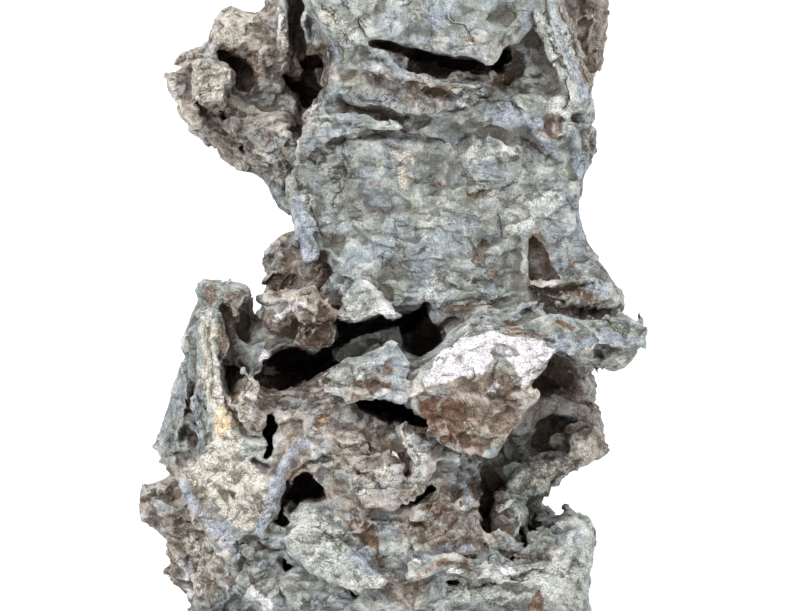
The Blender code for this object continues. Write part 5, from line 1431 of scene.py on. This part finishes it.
def relief_group():
    """The stone's fine relief: its height in metres, the tone of its chips, and how low it lies."""
    tree, entry, leave = open_tree("fine relief", "ShaderNodeTree", [
        ("Place", "NodeSocketVector", None), ("Upright", "NodeSocketFloat", 0.0),
        ("Rough", "NodeSocketFloat", 1.0), ("Line", "NodeSocketFloat", 0.0),
        ("Flake Step", "NodeSocketFloat", 0.28 * MM), ("Chip Step", "NodeSocketFloat", 0.14 * MM),
        ("Grain Height", "NodeSocketFloat", 0.34 * MM), ("Crack Depth", "NodeSocketFloat", 0.4 * MM),
        ("Line Depth", "NodeSocketFloat", 0.5 * MM),
    ], [("Height", "NodeSocketFloat"), ("Tone", "NodeSocketFloat"), ("Low", "NodeSocketFloat"),
        ("Grain", "NodeSocketFloat"), ("Fissure", "NodeSocketFloat")])
    wire = Wiring(tree)
    place = entry["Place"]
    flow = wire.warp(wire.warp(place, 26.0 * MM, 16.0 * MM), 2.6 * MM, 1.4 * MM)
    level = wire.vector("MULTIPLY", flow, (0.55, 0.8, 1.15))
    steep = wire.vector("MULTIPLY", flow, (1.2, 0.8, 0.4))
    level_height, level_tone = wire.facets(level, 1.0 / (3.2 * MM), 0.55)
    steep_height, steep_tone = wire.facets(steep, 1.0 / (3.2 * MM), 0.55)
    flake_height = wire.add("ShaderNodeMix", {
        0: entry["Upright"], 2: level_height, 3: steep_height}).outputs[0]
    flake_tone = wire.add("ShaderNodeMix", {0: entry["Upright"], 2: level_tone, 3: steep_tone}).outputs[0]
    chip_height, chip_tone = wire.facets(flow, 1.0 / (1.2 * MM), 0.8)
    edges = wire.add("ShaderNodeTexVoronoi", {"Vector": level, "Scale": 1.0 / (6.5 * MM)},
                     feature="DISTANCE_TO_EDGE").outputs[0]
    some = wire.span(wire.noise(place, 13.0 * MM, 2.0), 0.50, 0.60)
    crack = wire.math("MULTIPLY", wire.span(edges, 0.07, 0.02), some)
    ridge = wire.noise(wire.vector("MULTIPLY", flow, (0.55, 0.8, 1.3)), 9.0 * MM, 7.0, 0.62, 0.4)
    ridge = wire.math("ABSOLUTE", wire.math("SUBTRACT", ridge, 0.5))
    fissure = wire.math("MULTIPLY", wire.span(ridge, 0.014, 0.002),
                        wire.span(wire.noise(place, 10.0 * MM, 3.0), 0.50, 0.60))
    crack = wire.math("MAXIMUM", crack, fissure)
    grain = wire.noise(place, 0.5 * MM, 3.0, 0.78)
    flakes = wire.math("MULTIPLY_ADD", wire.math("SUBTRACT", flake_tone, 0.5), entry["Flake Step"],
                       flake_height)
    chips = wire.math("MULTIPLY_ADD", wire.math("SUBTRACT", chip_tone, 0.5), entry["Chip Step"], chip_height)
    gentle = wire.math("MULTIPLY_ADD", entry["Rough"], 0.7, 0.36)
    body = wire.math("MULTIPLY", wire.math("ADD", flakes, chips), gentle)
    grain_height = wire.math("MULTIPLY", wire.math("SUBTRACT", grain, 0.5), entry["Grain Height"])
    grain_height = wire.math("MULTIPLY", grain_height, wire.math("MULTIPLY_ADD", entry["Rough"], 0.3, 0.9))
    height = wire.math("ADD", body, grain_height)
    height = wire.math("SUBTRACT", height, wire.math("MULTIPLY", crack, entry["Crack Depth"]))
    height = wire.math("SUBTRACT", height, wire.math("MULTIPLY", entry["Line"], entry["Line Depth"]))
    tree.links.new(height, leave["Height"])
    tone = wire.math("MULTIPLY_ADD", flake_tone, 0.5, wire.math("MULTIPLY", chip_tone, 0.5))
    tree.links.new(tone, leave["Tone"])
    low = wire.span(height, -0.12 * MM, -0.60 * MM)
    tree.links.new(low, leave["Low"])
    tree.links.new(grain, leave["Grain"])
    tree.links.new(fissure, leave["Fissure"])
    return tree


# Colours of the stone's ground, of the painted shade in its hollows, creases, low relief and under its
# cracks, and of its paler ridges, as screen values.
GREEN_GREY = (130, 134, 126)
BLUE_GREY = (130, 138, 143)
PALE_BLOOM = (176, 178, 170)
DULL_BROWN = (104, 96, 86)
WARM_GREY = (148, 138, 128)
COOL_GREY = (154, 157, 158)
OCHRE_BROWN = (140, 112, 92)
WARM_PALE = (196, 189, 180)
EARTH = (94, 80, 69)
LOW_PLACE = (62, 50, 40)
CREVICE = (66, 54, 44)
PALE_RIDGE = (208, 206, 202)
CRACK_SHADOW = (40, 31, 25)
FISSURE = (62, 50, 41)
SHADED = (76, 60, 48)
DEEP_SHADE = (36, 28, 23)

# Finishes of the patches: dark and light colour of the grain, ragged edge, strength, and how much of
# the other sides the patch covers.
PATCH_FINISHES = {
    "pale": ((146, 150, 145), (194, 196, 190), 1.2, 0.75, 0.30),
    # umber is brown stain, and in places painted shade.
    "umber": ((70, 58, 48), (124, 108, 94), 1.2, 0.85, 0.34),
    "cream": ((150, 144, 132), (204, 198, 186), 1.3, 0.8, 0.22),
    "blue": ((118, 126, 138), (158, 165, 177), 0.8, 0.75, 0.30),
    "rust": ((62, 45, 34), (118, 88, 66), 1.1, 0.9, 0.18),
    "gold": ((186, 154, 108), (220, 196, 150), 1.0, 0.7, 0.02),
    "white": ((176, 172, 176), (222, 219, 223), 1.0, 0.95, 0.12),
    # deep is painted shade in the darkest hollows.
    "deep": ((44, 35, 28), (86, 69, 56), 0.8, 0.85, 0.0),
}


def patch_masks(wire, place, stored, behind):
    """The ragged mask of each patch, drawn on the broad face and scattered over the other sides."""
    ragged = ragged_patch_group()
    stray = stray_patch_group()
    masks = {}
    for number, (name, values) in enumerate(PATCH_FINISHES.items()):
        drawn = stored(name)
        if values[4]:
            scattered = wire.add("ShaderNodeGroup", {
                "Place": place, "Offset": (0.3 * number, 0.17 * number, 0.11 * number), "Share": values[4],
            }, node_tree=stray)
            drawn = wire.math("MAXIMUM", drawn, wire.math("MULTIPLY", scattered.outputs[0], behind))
        mask = wire.add("ShaderNodeGroup", {"Mask": drawn, "Place": place, "Ragged": values[2]},
                        node_tree=ragged)
        masks[name] = mask.outputs[0]
    return masks


def stone_finish():
    """Matt, granular grey-green stone with its patches, dark hollows of painted shade, and chipped relief."""
    finish = bpy.data.materials.new("weathered stone")
    finish.use_nodes = True
    tree = finish.node_tree
    shader = tree.nodes["Principled BSDF"]
    shader.inputs["Metallic"].default_value = 0.0
    shader.inputs["Specular IOR Level"].default_value = 0.25
    wire = Wiring(tree)
    place = wire.add("ShaderNodeTexCoord").outputs["Object"]

    def stored(name):
        """A stored number of the stone's skin."""
        return wire.add("ShaderNodeAttribute", attribute_name=name).outputs["Fac"]

    # The drawn cracks: a ragged, broken line that is cut into the relief and painted with the shadow under
    # each crack's lip.
    fray = wire.math("MULTIPLY", wire.math("SUBTRACT", wire.noise(place, 1.4 * MM, 3.0), 0.5), 3.2)
    over = wire.math("ABSOLUTE", wire.math("ADD", stored("line_over"), fray))
    broken = wire.math("MULTIPLY", wire.span(stored("line_near"), 0.35, 0.6),
                       wire.span(wire.noise(place, 4.0 * MM, 2.0), 0.36, 0.52))
    line = wire.math("MULTIPLY", wire.span(over, 0.75, 0.15, 0.0, 0.8), broken)
    behind = wire.math("SUBTRACT", 1.0, stored("front"))
    masks = patch_masks(wire, place, stored, behind)
    calm = wire.math("MAXIMUM", masks["white"], wire.math("MULTIPLY", masks["blue"], 0.9))
    rough = wire.math("MULTIPLY", stored("rough"), wire.math("MULTIPLY_ADD", calm, -0.75, 1.0))
    relief = wire.add("ShaderNodeGroup", node_tree=relief_group())
    for name, value in (("Place", place), ("Upright", stored("upright")), ("Rough", rough), ("Line", line)):
        tree.links.new(value, relief.inputs[name])
    broad = wire.noise(place, 24.0 * MM, 6.0, 0.64)
    middle = wire.noise(place, 7.5 * MM, 8.0, 0.72, 0.3)
    shifted = wire.vector("ADD", place, (0.31, 0.17, 0.23))
    other = wire.noise(shifted, 11.0 * MM, 8.0, 0.70, 0.3)
    warmth = wire.math("MAXIMUM", stored("warm"), wire.math("MULTIPLY", behind, 0.45))
    warm_share = wire.span(wire.math("MULTIPLY_ADD", wire.math("SUBTRACT", broad, 0.5), 2.2, warmth),
                           0.25, 0.75)
    cool = wire.tint(wire.span(other, 0.40, 0.60), paint(*GREEN_GREY), paint(*BLUE_GREY))
    cool = wire.tint(wire.span(middle, 0.50, 0.68, 0.0, 0.6), cool, paint(*PALE_BLOOM))
    cool = wire.tint(wire.span(middle, 0.47, 0.33, 0.0, 0.6), cool, paint(*DULL_BROWN))
    warm = wire.tint(wire.span(other, 0.50, 0.62), paint(*WARM_GREY), paint(*COOL_GREY))
    warm = wire.tint(wire.span(other, 0.44, 0.34, 0.0, 0.7), warm, paint(*OCHRE_BROWN))
    warm = wire.tint(wire.span(middle, 0.53, 0.66, 0.0, 0.8), warm, paint(*WARM_PALE))
    warm = wire.tint(wire.span(middle, 0.46, 0.36, 0.0, 0.85), warm, paint(*EARTH))
    color = wire.tint(warm_share, cool, warm)
    mottle = wire.span(wire.noise(place, 2.4 * MM, 5.0, 0.7), 0.36, 0.64, 0.80, 1.20)

    patchy = wire.math("MULTIPLY_ADD", wire.noise(place, 2.0 * MM, 7.0, 0.78), 0.7,
                       wire.math("MULTIPLY", relief.outputs["Grain"], 0.3))
    for name, values in PATCH_FINISHES.items():
        tone = wire.tint(wire.span(patchy, 0.34, 0.66), paint(*values[0]), paint(*values[1]))
        color = wire.tint(wire.math("MULTIPLY", masks[name], values[3]), color, tone)

    chip = wire.math("MULTIPLY_ADD", relief.outputs["Tone"], 0.24, 0.90)
    speck = wire.span(relief.outputs["Grain"], 0.32, 0.68, 0.64, 1.36)
    value = wire.math("MULTIPLY", wire.math("MULTIPLY", chip, speck), mottle)
    shade = wire.add("ShaderNodeCombineColor", {0: value, 1: value, 2: value})
    color = wire.tint(1.0, color, shade.outputs[0], "MULTIPLY")
    # Painted shade in the low parts of the fine relief.
    low = wire.math("MULTIPLY", relief.outputs["Low"], 0.5)
    color = wire.tint(low, color, paint(*LOW_PLACE))
    # Painted shade in the creases and hollows of the skin, with some dark staining.
    crevice = wire.math("MAXIMUM", wire.span(stored("edge_near"), -0.2, -1.0),
                        wire.math("MULTIPLY", wire.span(stored("edge_wide"), -0.25, -1.0), 0.6))
    color = wire.tint(wire.math("MULTIPLY", crevice, 0.6), color, paint(*CREVICE))
    # Paler colour on the sharp ridges of the skin.
    pale_ridge = wire.math("MULTIPLY", wire.span(stored("edge_near"), 0.2, 1.0),
                     wire.span(middle, 0.44, 0.6, 0.0, 0.45))
    color = wire.tint(pale_ridge, color, paint(*PALE_RIDGE))
    # Painted shadow along the drawn cracks.
    color = wire.tint(wire.math("MULTIPLY", line, 0.8), color, paint(*CRACK_SHADOW))
    color = wire.tint(wire.math("MULTIPLY", relief.outputs["Fissure"], 0.4), color, paint(*FISSURE))
    # Painted shade in the sheltered hollows, with some dark dirt there: brown, then near black where deepest.
    hidden = wire.math("MULTIPLY_ADD", wire.math("SUBTRACT", middle, 0.5), 0.3, stored("shelter"))
    color = wire.tint(wire.math("MULTIPLY", wire.span(hidden, 0.30, 0.62), 0.65), color, paint(*SHADED))
    color = wire.tint(wire.math("MULTIPLY", wire.span(hidden, 0.60, 0.95), 0.45), color, paint(*DEEP_SHADE))
    tree.links.new(color, shader.inputs["Base Color"])
    tree.links.new(wire.span(middle, 0.3, 0.7, 0.84, 0.96), shader.inputs["Roughness"])
    bump = wire.add("ShaderNodeBump", {"Height": relief.outputs["Height"], "Strength": 1.0, "Distance": 1.0})
    tree.links.new(bump.outputs[0], shader.inputs["Normal"])
    return finish


def floor_finish():
    """Plain, matt, nearly white floor."""
    finish = bpy.data.materials.new("pale floor")
    finish.use_nodes = True
    shader = finish.node_tree.nodes["Principled BSDF"]
    shader.inputs["Base Color"].default_value = (0.92, 0.92, 0.92, 1.0)
    shader.inputs["Roughness"].default_value = 0.9
    shader.inputs["Specular IOR Level"].default_value = 0.1
    return finish


# ------------------------------------------------------------------ settings, operators and panel


class StoneSettings(bpy.types.PropertyGroup):
    """Sizes of the stone's fine forms."""

    base_voxel: bpy.props.FloatProperty(
        name="Base voxel", description="Size of the cells that the masses are fused in",
        default=1.0 * MM, min=0.5 * MM, max=3.0 * MM, subtype="DISTANCE", unit="LENGTH")
    fine_voxel: bpy.props.FloatProperty(
        name="Fine voxel", description="Size of the cells that the skin is carved in",
        default=0.62 * MM, min=0.4 * MM, max=3.0 * MM, subtype="DISTANCE", unit="LENGTH")
    triangles: bpy.props.IntProperty(
        name="Triangles", description="Number of triangles of the finished stone",
        default=196000, min=20000, max=199000)
    flakes: bpy.props.FloatProperty(
        name="Flakes", description="Number of flakes on each square metre of rough skin",
        default=11000.0, min=0.0, max=60000.0)
    flake_length: bpy.props.FloatProperty(
        name="Flake length", description="Length of a flake of middling size",
        default=9.0 * MM, min=2.0 * MM, max=30.0 * MM, subtype="DISTANCE", unit="LENGTH")
    leaf_step: bpy.props.FloatProperty(
        name="Leaf step", description="How far the leaves of the stone stand above one another",
        default=1.0 * MM, min=0.0, max=6.0 * MM, subtype="DISTANCE", unit="LENGTH")
    pit_depth: bpy.props.FloatProperty(
        name="Pit depth", description="Depth of the pits in the porous parts",
        default=0.9 * MM, min=0.0, max=4.0 * MM, subtype="DISTANCE", unit="LENGTH")


class StageSettings(bpy.types.PropertyGroup):
    """Light and floor of the stage."""

    floor_size: bpy.props.FloatProperty(
        name="Floor size", description="Side of the square floor",
        default=9.0, min=1.0, max=30.0, subtype="DISTANCE", unit="LENGTH")
    sky: bpy.props.FloatProperty(
        name="Sky", description="Strength of the even light from all round", default=0.40, min=0.0, max=3.0)
    roof_power: bpy.props.FloatProperty(
        name="Roof light", description="Power of the wide lamp overhead", default=300.0, min=0.0,
        max=2000.0, unit="POWER")
    key_power: bpy.props.FloatProperty(
        name="Key light", description="Power of the large lamp up to the left", default=22.0, min=0.0,
        max=200.0, unit="POWER")
    fill_power: bpy.props.FloatProperty(
        name="Fill light", description="Power of the large lamp to the right", default=7.0, min=0.0,
        max=200.0, unit="POWER")


class OBJECT_OT_carve_stone(bpy.types.Operator):
    """Carve and paint the weathered stone"""

    bl_idname = "object.carve_stone"
    bl_label = "Carve the stone"

    def execute(self, context):
        sizes = context.scene.stone_settings
        finish = stone_finish()
        stone = fuse_masses(sizes.base_voxel)
        store_zones(stone.data)
        run_tree(stone, flake_tree(), {
            "Per Square Metre": sizes.flakes, "Length": sizes.flake_length,
            "Width": sizes.flake_length * FLAKE_WIDTH_SHARE, "Tilt": FLAKE_TILT, "Material": finish})
        remesh(stone, sizes.fine_voxel)
        cut_hollows(stone, sizes.fine_voxel)
        push_about(stone.data)
        stand_inner_plates(stone, sizes.fine_voxel)
        store_zones(stone.data)
        skin = BVHTree.FromObject(stone, context.evaluated_depsgraph_get())
        store_carving(stone.data, skin)
        run_tree(stone, weather_tree(), {
            "Leaf Step": sizes.leaf_step, "Pit Depth": sizes.pit_depth, "Material": finish})
        thin_out(stone, sizes.triangles)
        store_zones(stone.data)
        store_lines(stone.data, skin)
        store_edges(stone.data)
        store_shelter(stone.data)
        store_patches(stone.data)
        stone.data.transform(FACE_TO_ROW)
        keep_in_box(stone.data)
        stone.data.materials.clear()
        stone.data.materials.append(finish)
        stone.data.name = "weathered_stone"
        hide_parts("rock")
        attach(stone, "root")
        return {"FINISHED"}


class OBJECT_OT_set_stage(bpy.types.Operator):
    """Lay the pale floor, hang the soft lights and set up the camera"""

    bl_idname = "object.set_stage"
    bl_label = "Set the stage"

    def add_lamp(self, name, place, target, size, power):
        """Hang one large square lamp that looks at a target."""
        lamp = bpy.data.lights.new(name, "AREA")
        lamp.size = size
        lamp.energy = power
        holder = bpy.data.objects.new(name, lamp)
        holder.location = place
        holder.rotation_euler = (Vector(target) - Vector(place)).to_track_quat("-Z", "Y").to_euler()
        bpy.context.scene.collection.objects.link(holder)

    def execute(self, context):
        light = context.scene.stage_settings
        half = light.floor_size / 2.0
        flat = bmesh.new()
        corners = [flat.verts.new((x * half, y * half, 0.0)) for x, y in ((-1, -1), (1, -1), (1, 1), (-1, 1))]
        flat.faces.new(corners)
        floor = link_new("floor", mesh_from(flat, "floor"))
        floor.data.materials.append(floor_finish())
        middle = FACE_TO_ROW @ Vector((0.0, 0.0, EYE_HEIGHT))
        self.add_lamp("roof", (0.0, 0.6, 4.0), (0.0, 0.6, 0.0), 8.0, light.roof_power)
        self.add_lamp("key", (-0.75, -0.85, 1.15), middle, 0.8, light.key_power)
        self.add_lamp("fill", (0.95, -0.75, 0.75), middle, 0.9, light.fill_power)
        world = bpy.data.worlds.new("studio")
        world.use_nodes = True
        world.node_tree.nodes["Background"].inputs["Color"].default_value = (1.0, 1.0, 1.0, 1.0)
        world.node_tree.nodes["Background"].inputs["Strength"].default_value = light.sky
        context.scene.world = world
        context.scene.view_settings.view_transform = "Standard"
        sight = bpy.data.cameras.new("camera")
        sight.sensor_width = 36.0
        sight.lens = sight.sensor_width * SIGHT_DISTANCE / (GRID_COLUMNS * GRID_STEP)
        sight.clip_end = 20.0
        camera = bpy.data.objects.new("camera", sight)
        camera.location = FACE_TO_ROW @ EYE
        camera.rotation_euler = (middle - camera.location).to_track_quat("-Z", "Y").to_euler()
        context.scene.collection.objects.link(camera)
        context.scene.camera = camera
        return {"FINISHED"}


class VIEW3D_PT_stone(bpy.types.Panel):
    """The stone's settings and its two steps"""

    bl_label = "Aquascape rock"
    bl_space_type = "VIEW_3D"
    bl_region_type = "UI"
    bl_category = "Stone"

    def draw(self, context):
        layout = self.layout
        for settings, group in ((context.scene.stone_settings, StoneSettings),
                                (context.scene.stage_settings, StageSettings)):
            for name in group.__annotations__:
                layout.prop(settings, name)
        layout.operator("object.carve_stone")
        layout.operator("object.set_stage")


CLASSES = (StoneSettings, StageSettings, OBJECT_OT_carve_stone, OBJECT_OT_set_stage, VIEW3D_PT_stone)


def register():
    """Register the classes and their settings."""
    for kind in CLASSES:
        bpy.utils.register_class(kind)
    bpy.types.Scene.stone_settings = bpy.props.PointerProperty(type=StoneSettings)
    bpy.types.Scene.stage_settings = bpy.props.PointerProperty(type=StageSettings)


def unregister():
    """Remove the settings and the classes again."""
    del bpy.types.Scene.stage_settings
    del bpy.types.Scene.stone_settings
    for kind in reversed(CLASSES):
        bpy.utils.unregister_class(kind)


def main():
    """Make the stone and its stage."""
    register()
    bpy.ops.object.carve_stone()
    bpy.ops.object.set_stage()


if __name__ == "__main__":
    main()
